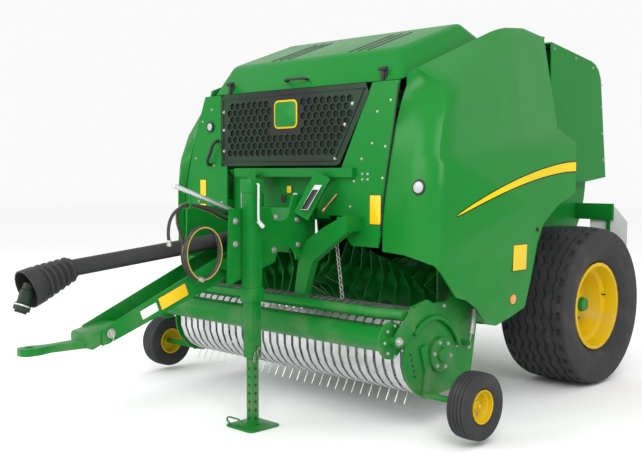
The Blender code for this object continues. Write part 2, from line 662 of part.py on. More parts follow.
def build_tailgate():
    """The tailgate: two side plates, the drum sheet between them and the cover outside, on one top hinge."""
    body = pivot("tailgate_axis", (0, TAIL_HINGE_Y, TAIL_HINGE_Z))
    front = SPLIT_Y + 0.010

    def side(name, s):
        line = [(front, CHAMBER_Z - TAIL_SIDE_R + 0.004), (front, TAIL_TOP_FRONT_Z - 0.03),
                (AXLE_Y + 0.60, TAIL_TOP_REAR_Z - 0.025), (AXLE_Y + 0.70, TAIL_TOP_REAR_Z - 0.13)]
        line += arc(CHAMBER_Y, CHAMBER_Z, TAIL_SIDE_R, 6, -88, 14)
        finish(x_plate("side", [line], s, WALL_IN, WALL_T), f"tailgate_side_{name}", "green", body)

    two_sides(side)
    inside = WALL_IN - GAP
    drum = bend(arc(CHAMBER_Y, CHAMBER_Z, CHAMBER_R, 88, -86, 26), SHELL_T)
    finish(side_plate("drum", [drum], -inside, inside), "tailgate_drum", "green", body, 40)
    wrap = [(front, TAIL_TOP_FRONT_Z), (AXLE_Y + 0.635, TAIL_TOP_REAR_Z + 0.003),
            (AXLE_Y + 0.700, TAIL_TOP_REAR_Z - 0.018), (AXLE_Y + 0.750, TAIL_TOP_REAR_Z - 0.058),
            (AXLE_Y + 0.786, TAIL_TOP_REAR_Z - 0.120), (TAIL_REAR, TAIL_SHIELD_BOTTOM + 0.015)]
    strip = side_plate("wrap", [bend(wrap, -0.010)], -TAIL_SHIELD_X - 0.004, TAIL_SHIELD_X + 0.004)
    shield = wrap + [(AXLE_Y + 0.57, TAIL_SHIELD_BOTTOM - 0.02), (front, TAIL_SHIELD_BOTTOM)]
    shields = [x_plate("shield", [shield], s, TAIL_SHIELD_X, 0.008) for s in (1, -1)]
    for s in (1, -1):
        lo, hi = sorted((s * (WALL_IN + WALL_T + GAP), s * (TAIL_SHIELD_X + 0.004)))
        shields.append(box("link", (lo, AXLE_Y + 0.30, TAIL_SHIELD_BOTTOM + 0.10),
                           (hi, AXLE_Y + 0.34, TAIL_TOP_REAR_Z - 0.06)))
    finish(combine(strip, shields), "tailgate_cover", "green", body)


def build_wheels():
    """The two main wheels."""
    for side, s in (("left", 1), ("right", -1)):
        wheel(f"wheel_{side}", (s * TYRE_X, AXLE_Y, TYRE_R), TYRE_R, TYRE_W, RIM_R, s, 28)


def build_rotor():
    """The feed rotor: a tube with pairs of four-pointed star plates set as two screws that meet in the middle."""
    body = pivot("feed_rotor_axis", (0, ROTOR_Y, ROTOR_Z))
    tube_r, end = 0.075, FEED_SIDE_X - GAP
    base = turned("rotor", [(-end, 0), (-end, 0.030), (-ROTOR_HALF, 0.030), (-ROTOR_HALF, tube_r),
                            (ROTOR_HALF, tube_r), (ROTOR_HALF, 0.030), (end, 0.030), (end, 0)],
                  (0, ROTOR_Y, ROTOR_Z), 16)
    stars, count = [], 17
    for i in range(count):
        x = (i - (count - 1) / 2) * (2 * ROTOR_HALF - 0.06) / (count - 1)
        turn = 11.0 * abs(i - (count - 1) / 2)
        line = []
        for k in range(4):
            a = math.radians(turn + 90 * k)
            b = math.radians(turn + 90 * k + 38)
            line.append((ROTOR_Y + ROTOR_R * math.cos(a), ROTOR_Z + ROTOR_R * math.sin(a)))
            line.append((ROTOR_Y + 0.105 * math.cos(b), ROTOR_Z + 0.105 * math.sin(b)))
        stars.append(side_plate("star", [line], x - 0.005, x + 0.005))
    finish(combine(base, [join("stars", stars)]), "feed_rotor", "green", body, 40)


def join(name, objects):
    """One object holding the meshes of several that don't touch one another."""
    bm = bmesh.new()
    for obj in objects:
        bm.from_mesh(obj.data)
        bpy.data.objects.remove(obj)
    return from_bmesh(name, bm)


def build_pickup():
    """The pickup: bands on a rear beam, side plates, the tine reel, gauge wheels; it lifts about the rotor's axis."""
    body = pivot("pickup_axis", (0, ROTOR_Y, ROTOR_Z))
    pitch = 2 * BAND_HALF / BAND_COUNT
    beam_y, low = PICK_Y + TINE_TIP_R + 0.015, PICK_Z - BAND_R
    path = arc(PICK_Y, PICK_Z, BAND_R, 35, 270, 12) + [(beam_y + 0.02, low)]
    strips = []
    for i in range(BAND_COUNT):
        x = -BAND_HALF + pitch * (i + 0.5)
        strips.append(side_plate("band", [bend(path, BAND_T)], x - BAND_W / 2, x + BAND_W / 2))
    beam = box("beam", (-PICK_SIDE_X + GAP, beam_y, low - 0.008), (PICK_SIDE_X - GAP, beam_y + 0.05, PICK_Z - 0.02))
    finish(combine(beam, [join("strips", strips)]), "pickup_bands", "steel", body, 30)

    def side(name, s):
        line = arc(PICK_Y, PICK_Z, BAND_R + 0.015, 100, 290, 14)
        line += [(beam_y + 0.06, low + 0.02), (ROTOR_Y + 0.05, ROTOR_Z - 0.06), (ROTOR_Y + 0.05, ROTOR_Z + 0.06),
                 (ROTOR_Y - 0.06, ROTOR_Z + 0.06), (PICK_Y + 0.12, TUBE_Z + 0.04), (TUBE_Y + 0.06, TUBE_Z + 0.04)]
        finish(x_plate("side", [line], s, PICK_SIDE_X, BRACKET_T), f"pickup_side_{name}", "green", body)

    two_sides(side)
    reel_body = pivot("pickup_reel_axis", (0, PICK_Y, REEL_Z), body)
    bar_r, span = 0.165, BAND_HALF - 0.012
    reel = turned("reel", [(-PICK_SIDE_X + GAP, 0), (-PICK_SIDE_X + GAP, 0.025), (-span, 0.025), (-span, 0.050),
                           (span, 0.050), (span, 0.025), (PICK_SIDE_X - GAP, 0.025), (PICK_SIDE_X - GAP, 0)],
                  (0, PICK_Y, REEL_Z), 16)
    more, tines = [], []
    for x in (-span + 0.006, 0.0, span - 0.006):
        more.append(rod("disc", (x - 0.005, PICK_Y, REEL_Z), (x + 0.005, PICK_Y, REEL_Z), bar_r + 0.02, 24))
    for angle in (62, 152, 242, 332):
        a = math.radians(angle)
        y, z = PICK_Y + bar_r * math.cos(a), REEL_Z + bar_r * math.sin(a)
        more.append(rod("bar", (-span + 0.004, y, z), (span - 0.004, y, z), 0.011, 8))
        for k in range(1, BAND_COUNT):
            x = -BAND_HALF + pitch * k
            tip = (x, PICK_Y + (TINE_TIP_R - 0.001) * math.cos(a), REEL_Z + (TINE_TIP_R - 0.001) * math.sin(a))
            tines.append(rod("tine", (x, y, z), tip, TINE_R, 4))
    more.append(join("tines", tines))
    finish(combine(reel, more), "pickup_reel", "dark", reel_body, 40)
    for name, s in (("left", 1), ("right", -1)):
        wheel(f"gauge_wheel_{name}", (s * GAUGE_X, GAUGE_Y, GAUGE_LIFT + GAUGE_R), GAUGE_R, GAUGE_W,
              GAUGE_RIM_R, s, 20, body)
        inner = PICK_SIDE_X + BRACKET_T + GAP
        hub = GAUGE_X - 0.10 * GAUGE_W - GAP
        z = GAUGE_LIFT + GAUGE_R
        line = [(GAUGE_Y - 0.0475, 0.487), (GAUGE_Y + 0.008, 0.500), (GAUGE_Y + 0.055, 0.360), (GAUGE_Y + 0.030, z - 0.020),
                (GAUGE_Y - 0.028, z - 0.022), (GAUGE_Y - 0.002, 0.345)]
        arm = x_plate("gauge", [rounded(line, 0.018)], s, inner, 0.012)
        axle = rod("axle", (s * (inner + 0.004), GAUGE_Y, z), (s * hub, GAUGE_Y, z), 0.018, 16)
        finish(combine(arm, [axle]), f"gauge_arm_{name}", "green", body)


def build_front_tube():
    """The bent tube over the pickup with its end brackets, and the press roller on its two swinging arms."""
    body = bpy.data.objects["pickup_axis"]
    end = PICK_SIDE_X + BRACKET_T + GAP
    bends = [(0.006, 0.030), (-0.030, 0.030), (-0.070, 0.022), (-0.110, 0.006), (-0.150, 0.0)]
    route = [(-end - x, TUBE_Y + y, TUBE_Z) for x, y in bends] + [(end + x, TUBE_Y + y, TUBE_Z) for x, y in bends[::-1]]
    base = tube("front_tube", route, TUBE_R, 3)
    plates = []
    for s in (1, -1):
        line = rounded([(TUBE_Y + 0.03, TUBE_Z - 0.06), (TUBE_Y + 0.16, TUBE_Z - 0.07), (TUBE_Y + 0.30, TUBE_Z - 0.03),
                        (TUBE_Y + 0.30, TUBE_Z + 0.03), (TUBE_Y + 0.22, TUBE_Z + 0.07), (TUBE_Y + 0.08, TUBE_Z + 0.04)],
                       0.02)
        plates.append(x_plate("bracket", [line], s, end, BRACKET_T))
    finish(combine(base, plates), "front_tube", "green", body, 40)
    guard = pivot("press_roller_arms_axis", (0, *ARM_PIVOT), body)
    arm_x = end + BRACKET_T + CLEAR
    bar_y, bar_z = ARM_PIVOT[0] - 0.045, ARM_PIVOT[1] - 0.080
    torque = rod("torque", (-arm_x - 0.004, bar_y, bar_z), (arm_x + 0.004, bar_y, bar_z), 0.008, 12)
    arms = []
    for s in (1, -1):
        line = rounded([(ROLLER_Y - 0.035, ROLLER_Z - 0.03), (ROLLER_Y + 0.03, ROLLER_Z - 0.04),
                        (ARM_PIVOT[0] - 0.035, ARM_PIVOT[1] - 0.100), (ARM_PIVOT[0] + 0.045, ARM_PIVOT[1] - 0.02),
                        (ARM_PIVOT[0] + 0.035, ARM_PIVOT[1] + 0.045), (ARM_PIVOT[0] - 0.03, ARM_PIVOT[1] + 0.04),
                        (ROLLER_Y - 0.02, ROLLER_Z + 0.04)], 0.025)
        arms.append(x_plate("arm", [line], s, arm_x, 0.010))
    finish(combine(torque, arms), "press_roller_arms", "green", guard, 30)
    roll = pivot("press_roller_axis", (0, ROLLER_Y, ROLLER_Z), guard)
    e, f = arm_x - GAP, ROLLER_HALF - 0.015
    roller = turned("roller", [(-e, 0), (-e, 0.022), (-ROLLER_HALF, 0.022), (-ROLLER_HALF, ROLLER_FLANGE_R),
                               (-f, ROLLER_FLANGE_R), (-f, ROLLER_R), (f, ROLLER_R), (f, ROLLER_FLANGE_R),
                               (ROLLER_HALF, ROLLER_FLANGE_R), (ROLLER_HALF, 0.022), (e, 0.022), (e, 0)],
                    (0, ROLLER_Y, ROLLER_Z), 28)
    finish(roller, "press_roller", "green", roll, 40)


def draw_line(t):
    """The middle of the drawbar's side at t from its front pin, 0, to its rear, 1, and its depth there."""
    y = DRAW_PIVOT[0] + (DRAW_REAR[0] - DRAW_PIVOT[0]) * t
    z = DRAW_PIVOT[1] + (DRAW_REAR[1] - DRAW_PIVOT[1]) * t
    return y, z, DRAW_FRONT_H + (DRAW_REAR_H - DRAW_FRONT_H) * t


def build_drawbar():
    """The drawbar: an open channel rising to the mast plates, its eye, and the two forked braces to the frame."""
    (ya, za, ha), (yb, zb, hb) = draw_line(0.02), draw_line(1.0)
    line = [(ya, za - ha / 2), (yb, zb - hb / 2), (yb, zb + hb / 2), (ya, za + ha / 2)]
    sides = [x_plate("side", [line], s, DRAW_HALF - DRAW_T, DRAW_T) for s in (1, -1)]
    floor = side_plate("floor", [bend([(ya + 0.03, za - ha / 2 + 0.004), (yb, zb - hb / 2 + 0.004)], 0.010)],
                       -DRAW_HALF + 0.004, DRAW_HALF - 0.004)
    finish(combine(floor, sides), "drawbar", "green")
    eye_back = DRAW_PIVOT[0] + 0.16
    inner = DRAW_HALF - DRAW_T - GAP
    fork = side_plate("fork", [rounded([(DRAW_PIVOT[0] - 0.05, DRAW_PIVOT[1] - 0.058),
                                        (eye_back, DRAW_PIVOT[1] + 0.03), (eye_back, DRAW_PIVOT[1] + 0.075),
                                        (DRAW_PIVOT[0] - 0.05, DRAW_PIVOT[1] + 0.032)], 0.02)], -inner, inner)
    shank = rounded([(-0.055, DRAW_PIVOT[0]), (-0.030, EYE_Y + 0.10), (-0.052, EYE_Y + 0.03), (-0.050, EYE_Y - 0.035),
                     (-0.020, EYE_Y - 0.058), (0.020, EYE_Y - 0.058), (0.050, EYE_Y - 0.035), (0.052, EYE_Y + 0.03),
                     (0.030, EYE_Y + 0.10), (0.055, DRAW_PIVOT[0])], 0.02, 2)
    shank = flat_plate("shank", [shank, ring(0, EYE_Y, 0.025, 20)], EYE_Z - 0.018, EYE_Z + 0.018)
    finish(combine(fork, [shank]), "hitch_eye", "green", None, 30)

    y0, y1 = DRAW_REAR[0] - 0.30, AXLE_Y - 1.875
    low = draw_line((y0 - DRAW_PIVOT[0]) / (DRAW_REAR[0] - DRAW_PIVOT[0]))
    beam = box("beam", (-0.53, FRONT_Y - 0.030, 1.425), (0.53, FRONT_Y - GAP, 1.480))
    more = []
    leg_y, web_z = TUBE_Y + TUBE_R + 0.018, draw_line(0.8)[1]
    for s in (1, -1):
        line = [(y0, low[1] - low[2] / 2), (DRAW_REAR[0] + 0.02, 0.915)]
        line += arc(y1 - 0.175, 0.93, 0.085, 180, 0, 8) + [(y1, 0.93), (y1, 1.32), (y1 - 0.11, 1.32)]
        line += arc(y1 - 0.215, 1.24, 0.075, 0, -180, 8) + [(y1 - 0.295, 1.25), (y0 + 0.02, 1.25)]
        more.append(x_plate("mast", [line], s, MAST_X - MAST_T, MAST_T))
        inner_x = sorted((s * (DRAW_HALF + GAP), s * (MAST_X - 0.004)))
        more.append(box("web", (inner_x[0], y0 + 0.02, web_z - 0.02), (inner_x[1], y0 + 0.10, web_z + 0.04)))
        more.append(box("rear", (inner_x[0], DRAW_REAR[0] - 0.06, 0.93), (inner_x[1], DRAW_REAR[0] - 0.01, 1.06)))
        branch = [(0.150, TUBE_Z + TUBE_R - 0.002), (0.243, TUBE_Z + TUBE_R - 0.002), (0.262, 0.80), (0.311, 0.922),
                  (0.469, 1.032), (0.59, 1.11), (0.59, 1.19), (0.572, 1.21), (0.40, 1.13), (0.261, 1.05), (0.194, 0.956)]
        more.append(front_plate("leg", [[(s * x, z) for x, z in branch]], leg_y, leg_y + 0.050))
        lo, hi = sorted((s * 0.50, s * 0.588))
        more.append(box("foot", (lo, leg_y + 0.010, 1.112), (hi, FRONT_Y - GAP, 1.196)))
        more.append(bar("up", (s * (MAST_X + 0.020), y1 - 0.065, 1.19), (s * 0.33, FRONT_Y - 0.062, 1.44), 0.05, 0.10))
    more.append(rod("holder", HOLDER_ROOT, HOLDER_TIP, 0.012, 12))
    hook_x, hook_top = HOLDER_ROOT[0], HOLDER_ROOT[2] + (HOLDER_TIP[2] - HOLDER_ROOT[2]) * 0.75
    route = [(hook_x, HOOK_Y, hook_top), (hook_x, HOOK_Y, HOOK_Z + 0.006), (hook_x - 0.006, HOOK_Y, HOOK_Z),
             (hook_x - 0.078, HOOK_Y, HOOK_Z), (hook_x - 0.090, HOOK_Y, HOOK_Z + 0.022)]
    more.append(tube("hook", route, HOOK_R, 1))
    finish(combine(beam, more), "mast_frame", "green")


def build_stand():
    """The parking stand: mast-side tube, its lower sleeve, and the leg with its foot, which slides up."""
    x0, x1 = STAND_X - STAND_SIDE / 2, STAND_X + STAND_SIDE / 2
    y0, y1 = STAND_Y - STAND_SIDE / 2, STAND_Y + STAND_SIDE / 2
    outer = box("stand", (x0, y0, 0.74), (x1, y1, STAND_TOP))
    half = SLEEVE_SIDE / 2
    lower = box("lower", (STAND_X - half, STAND_Y - half, 0.40), (STAND_X + half, STAND_Y + half, 0.75))
    collar = box("collar", (x0 - COLLAR_T, y0 - COLLAR_T, 0.74 - 0.02), (x1 + COLLAR_T, y1 + COLLAR_T, 0.80))
    cap = box("cap", (x0 - 0.006, y0 - 0.006, STAND_TOP - 0.07), (x1 + 0.006, y1 + 0.006, STAND_TOP + 0.006))
    combine(outer, [lower, collar, cap])
    bore = LEG_SIDE / 2 + CLEAR
    cut = box("bore", (STAND_X - bore, STAND_Y - bore, 0.30), (STAND_X + bore, STAND_Y + bore, 1.30))
    combine(outer, [cut], "DIFFERENCE")
    finish(outer, "stand_sleeve", "green")
    body = pivot("stand_leg_axis", (STAND_X, STAND_Y, 0.40))
    h = LEG_SIDE / 2
    leg = box("leg", (STAND_X - h, STAND_Y - h, 0.006), (STAND_X + h, STAND_Y + h, 0.86))
    foot = flat_plate("foot", [rounded([(STAND_X - 0.115, STAND_Y - 0.115), (STAND_X + 0.115, STAND_Y - 0.115),
                                        (STAND_X + 0.115, STAND_Y + 0.115), (STAND_X - 0.115, STAND_Y + 0.115)],
                                       0.03)], 0.0, 0.012)
    finish(combine(leg, [foot]), "stand_leg", "green", body)


def build_shaft():
    """The gearbox, and the guarded power shaft over the drawbar, whose bell and yoke hang down at its front."""
    gear = box("gearbox", (-0.15, GEARBOX_Y - 0.02, 0.97), (0.15, FRONT_Y + 0.05, 1.24))
    nose = rod("nose", (0, SHAFT_REAR[0] + 0.02, SHAFT_REAR[1]), (0, GEARBOX_Y, SHAFT_REAR[1]), 0.055, 20)
    finish(combine(gear, [nose]), "gearbox", "green")
    a, b = Vector((0, *SHAFT_REAR)), Vector((0, *SHAFT_FRONT))
    body = pivot("shaft_guard_axis", a)
    run, mouth = (b - a).length, Vector((0, *BELL_TIP))
    collar = 0.075
    profile = [(0.015, 0), (0.015, collar), (0.10, collar), (0.16, SHAFT_R + 0.006), (0.17, SHAFT_R),
               (run + 0.02, SHAFT_R), (run + 0.02, 0)]
    guard = along(turned("guard", profile, (0, 0, 0), 18), a, b)
    length, ribs, skin = (mouth - b).length, 5, 0.007
    cone = [(0.0, 0.0), (0.0, SHAFT_R + 0.012)]
    for k in range(ribs):
        x = 0.012 + (length - 0.085) * k / ribs
        r = SHAFT_R + 0.014 + (BELL_R - SHAFT_R - 0.028) * k / ribs
        cone += [(x, r), (x + 0.006, r + 0.010), (x + 0.016, r + 0.010), (x + 0.022, r + 0.002)]
    cone += [(length - 0.070, BELL_R - 0.006), (length, BELL_R), (length, BELL_R - skin),
             (length - 0.065, BELL_R - 0.014), (0.110, 0.062), (0.110, 0)]
    bell = along(turned("bell", cone, (0, 0, 0), 18), b, mouth)
    top, tip = Vector((0, *YOKE_TOP)), Vector((0, *YOKE_TIP))
    stub = rod("stub", b.lerp(mouth, 0.2), b.lerp(mouth, 0.72), 0.030, 12)
    finish(combine(guard, [bell, stub]), "shaft_guard", "dark", body, 40)
    spin = pivot("shaft_yoke_axis", top, body)
    drop = (tip - top).length
    yoke = [(0, 0), (0, YOKE_R - 0.012), (0.030, YOKE_R - 0.012), (0.036, YOKE_R - 0.006), (drop - 0.050, YOKE_R - 0.008),
            (drop - 0.045, YOKE_R), (drop - 0.012, YOKE_R), (drop - 0.012, YOKE_R - 0.010), (drop, YOKE_R - 0.012),
            (drop, 0)]
    finish(along(turned("yoke", yoke, (0, 0, 0), 20), top, tip), "shaft_yoke", "black", spin, 40)


def build_lights():
    """The rear light bars behind the wheels, with their boards."""
    body = bpy.data.objects["tailgate_axis"]

    def light(side, s):
        lo, hi = sorted((s * (WALL_IN + WALL_T + GAP), s * 0.93))
        arm = box("arm", (lo, AXLE_Y + 0.580, 1.10), (hi, AXLE_Y + 0.605, 1.22))
        lo, hi = sorted((s * 0.88, s * 0.905))
        post = box("post", (lo, AXLE_Y + 0.582, 0.93), (hi, AXLE_Y + 0.603, 1.12))
        finish(combine(arm, [post]), f"light_bar_{side}", "green", body)
        board = [(s * x, z) for x, z in ((0.737, 0.905), (1.036, 0.905), (1.036, 1.088), (0.94, 1.195), (0.737, 1.195))]
        board = front_plate("board", [rounded(board, 0.015)], AXLE_Y + 0.605 + GAP, AXLE_Y + 0.613)
        finish(board, f"light_board_{side}", "white", body)

    two_sides(light)


def hanging_route():
    """The plain hose: out of the block, over the hook and down to its free end."""
    y, z, rest = VALVE_LO[1], VALVE_HI[2] - 0.022, HOOK_Z + HOOK_R + HOSE_R + 6 * GAP
    x = 0.155
    return [(x, y - 4 * GAP, z), (x, y - 0.05, z), (x, y - 0.16, z + 0.032), (x, HOOK_Y + 0.060, rest - 0.006),
            (x, HOOK_Y, rest), (x, HOOK_Y - 0.055, rest - 0.018), (x, HOOK_Y - 0.105, rest - 0.060),
            (x, HOOK_Y - 0.128, rest - 0.125), (x, HOOK_Y - 0.124, rest - 0.215)]


def coiled_route():
    """The striped hose: out of the block, over the hook and down into its hanging coil."""
    y, z, rest = VALVE_LO[1], VALVE_LO[2] + 0.020, HOOK_Z + HOOK_R + HOSE_R + 6 * GAP
    x = 0.122
    route = [(x, y - 4 * GAP, z), (x, y - 0.05, z), (x, y - 0.16, z + 0.045), (x, HOOK_Y + 0.060, rest - 0.006),
             (x, HOOK_Y, rest), (x, HOOK_Y - 0.036, rest - 0.026), (x, HOOK_Y - 0.048, rest - 0.068)]
    per_turn = 14
    for i in range(COIL_TURNS * per_turn + 5):
        angle = math.radians(158 + 360 * i / per_turn)
        route.append((x + 0.006 + 0.020 * i / per_turn, COIL_Y + COIL_RADII[0] * math.cos(angle),
                      COIL_Z + COIL_RADII[1] * math.sin(angle)))
    return route


def build_hoses():
    """The block on the near mast plate and the two hoses that hang from it."""
    finish(box("valve", VALVE_LO, VALVE_HI), "valve_block", "dark")
    finish(tube("hose", smooth_route(hanging_route(), 32), HOSE_R), "hose_plain", "black", None, 60)
    finish(tube("hose", smooth_route(coiled_route(), 76), HOSE_R), "hose_striped", "stripe", None, 60)


def build():
    start()
    build_frame()
    build_chamber()
    build_front()
    build_hood()
    build_covers()
    build_tailgate()
    build_wheels()
    build_rotor()
    build_pickup()
    build_front_tube()
    build_drawbar()
    build_stand()
    build_shaft()
    build_lights()
    build_hoses()


build()
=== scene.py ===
"""A towed round baler parked on its stand, dressed over its fixed frame."""

import sys
import json
import logging
import math
from dataclasses import dataclass, field
from enum import Enum
from typing import Any, Sequence

import bpy
from mathutils import Matrix, Vector
from mathutils.bvhtree import BVHTree

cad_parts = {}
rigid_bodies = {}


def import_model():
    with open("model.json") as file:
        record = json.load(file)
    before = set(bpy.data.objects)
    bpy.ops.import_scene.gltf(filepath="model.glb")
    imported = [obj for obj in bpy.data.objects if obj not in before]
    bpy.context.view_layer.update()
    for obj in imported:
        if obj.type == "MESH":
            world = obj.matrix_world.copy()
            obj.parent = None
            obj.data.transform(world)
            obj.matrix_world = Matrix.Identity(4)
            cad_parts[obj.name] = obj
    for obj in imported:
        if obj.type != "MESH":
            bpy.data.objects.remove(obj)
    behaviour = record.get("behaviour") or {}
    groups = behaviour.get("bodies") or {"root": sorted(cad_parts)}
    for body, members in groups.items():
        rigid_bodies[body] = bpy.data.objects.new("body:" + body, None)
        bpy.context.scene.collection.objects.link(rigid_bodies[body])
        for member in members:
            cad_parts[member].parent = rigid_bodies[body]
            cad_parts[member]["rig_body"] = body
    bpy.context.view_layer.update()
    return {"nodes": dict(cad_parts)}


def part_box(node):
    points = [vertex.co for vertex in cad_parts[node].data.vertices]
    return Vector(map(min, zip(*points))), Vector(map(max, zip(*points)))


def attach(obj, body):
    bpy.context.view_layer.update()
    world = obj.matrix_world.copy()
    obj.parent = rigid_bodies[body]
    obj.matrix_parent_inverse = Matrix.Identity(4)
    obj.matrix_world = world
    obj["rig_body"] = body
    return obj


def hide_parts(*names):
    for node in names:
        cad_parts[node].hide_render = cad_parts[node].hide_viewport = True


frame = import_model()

LOG = logging.getLogger("round_baler")
Point = tuple[float, float, float]
Colour = tuple[float, float, float]

AXLE = sum(end[1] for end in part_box("wheel_left_tyre")) / 2
WELD = 0.00005


class Side(Enum):
    """The machine's two sides, as the sign of X."""

    LEFT = 1
    RIGHT = -1

    @property
    def tag(self) -> str:
        """The side's word in the names of nodes and pieces."""
        return self.name.lower()


def middle_of(node: str) -> Vector:
    """The middle of a frame part's box."""
    low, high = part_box(node)
    return Vector([(a + b) / 2 for a, b in zip(low, high)])


def y_at(rel: float) -> float:
    """The Y of a place rel behind the axle."""
    return AXLE + rel


def behind_axle(spot: Point) -> Vector:
    """A place whose second number is its distance behind the axle."""
    return Vector((spot[0], y_at(spot[1]), spot[2]))


# ---------------------------------------------------------------- materials


class Val:
    """A number in a node tree, on which Python's operators add Math nodes."""

    def __init__(self, tree: "Tree", socket: Any) -> None:
        """Wraps a socket of the tree."""
        self.tree, self.socket = tree, socket

    def _math(self, kind: str, a: Any, b: Any = None) -> "Val":
        """One Math node on one or two values."""
        inputs = {0: a} if b is None else {0: a, 1: b}
        made = self.tree.node("ShaderNodeMath", {"operation": kind}, inputs)
        return Val(self.tree, made.outputs[0])

    def __add__(self, other: Any) -> "Val":
        """Sum."""
        return self._math("ADD", self, other)

    __radd__ = __add__

    def __sub__(self, other: Any) -> "Val":
        """Difference."""
        return self._math("SUBTRACT", self, other)

    def __rsub__(self, other: Any) -> "Val":
        """Reflected difference."""
        return self._math("SUBTRACT", other, self)

    def __mul__(self, other: Any) -> "Val":
        """Product."""
        return self._math("MULTIPLY", self, other)

    __rmul__ = __mul__

    def __truediv__(self, other: Any) -> "Val":
        """Quotient."""
        return self._math("DIVIDE", self, other)

    def __pow__(self, other: Any) -> "Val":
        """Power."""
        return self._math("POWER", self, other)

    def __abs__(self) -> "Val":
        """Absolute value."""
        return self._math("ABSOLUTE", self)

    def above(self, level: Any) -> "Val":
        """1 where the value is over the level, else 0."""
        return self._math("GREATER_THAN", self, level)

    def at_most(self, other: Any) -> "Val":
        """The smaller of two values."""
        return self._math("MINIMUM", self, other)

    def at_least(self, other: Any) -> "Val":
        """The larger of two values."""
        return self._math("MAXIMUM", self, other)


class Tree:
    """A material under construction."""

    def __init__(self, name: str) -> None:
        """Makes the material and finds its shader.

        Args:
            name: The material's name.
        """
        self.material = bpy.data.materials.new(name)
        self.material.use_nodes = True
        self.tree = self.material.node_tree
        self.shader = self.tree.nodes["Principled BSDF"]

    def node(self, kind: str, settings: dict[str, Any] | None = None,
             inputs: dict[Any, Any] | None = None) -> Any:
        """Adds a node.

        Args:
            kind: The node's type.
            settings: Its properties, set before its sockets.
            inputs: Values or links of its sockets, by name or number.

        Returns:
            The node.
        """
        made = self.tree.nodes.new(kind)
        for key, value in (settings or {}).items():
            setattr(made, key, value)
        for key, value in (inputs or {}).items():
            self.put(made.inputs[key], value)
        return made

    def put(self, socket: Any, value: Any) -> None:
        """Links or sets a socket.

        Args:
            socket: The socket.
            value: A value, or what is linked to the socket.
        """
        if isinstance(value, Val):
            value = value.socket
        if isinstance(value, bpy.types.NodeSocket):
            self.tree.links.new(value, socket)
        else:
            socket.default_value = value

    def place(self) -> Any:
        """The surface's own place, in metres."""
        return self.node("ShaderNodeTexCoord").outputs["Object"]

    def xyz(self) -> tuple[Val, Val, Val]:
        """The three coordinates of the surface's place."""
        parts = self.node("ShaderNodeSeparateXYZ", None, {0: self.place()})
        return tuple(Val(self, out) for out in parts.outputs)

    def noise(self, scale: float, detail: float = 2.0, stretch: Point = (1.0, 1.0, 1.0)) -> Val:
        """A noise over the surface's place.

        Args:
            scale: Its scale.
            detail: Its detail.
            stretch: What each coordinate is multiplied by.

        Returns:
            The noise, about 0 to 1.
        """
        spot = self.node("ShaderNodeMapping", None, {"Vector": self.place(), "Scale": stretch})
        made = self.node("ShaderNodeTexNoise", None,
                         {"Vector": spot.outputs[0], "Scale": scale, "Detail": detail})
        return Val(self, made.outputs[0])

    def step(self, value: Any, low: float, high: float) -> Val:
        """A smooth step.

        Args:
            value: What is stepped.
            low: The value that gives 0.
            high: The value that gives 1.

        Returns:
            The step, 0 to 1.
        """
        made = self.node("ShaderNodeMapRange", {"interpolation_type": "SMOOTHSTEP"},
                         {"Value": value, "From Min": low, "From Max": high})
        return Val(self, made.outputs[0])

    def mix(self, factor: Any, a: Any, b: Any) -> Any:
        """A colour between two.

        Args:
            factor: 0 for the first colour and 1 for the second.
            a: The first colour or its socket.
            b: The second colour or its socket.

        Returns:
            The socket of the mixed colour.
        """
        a, b = [(*c, 1.0) if isinstance(c, tuple) and len(c) == 3 else c for c in (a, b)]
        made = self.node("ShaderNodeMix", {"data_type": "RGBA"}, {0: factor, 6: a, 7: b})
        return made.outputs[2]

    def bump(self, height: Any, strength: float, depth: float) -> None:
        """Feeds a bump to the shader's normal.

        Args:
            height: What the bump follows.
            strength: Its strength.
            depth: Its depth in metres.
        """
        made = self.node("ShaderNodeBump", None,
                         {"Height": height, "Strength": strength, "Distance": depth})
        self.put(self.shader.inputs["Normal"], made.outputs[0])

    def set(self, **sockets: Any) -> None:
        """Sets or links the shader's sockets, by name with _ for a space."""
        for key, value in sockets.items():
            self.put(self.shader.inputs[key.replace("_", " ")], value)


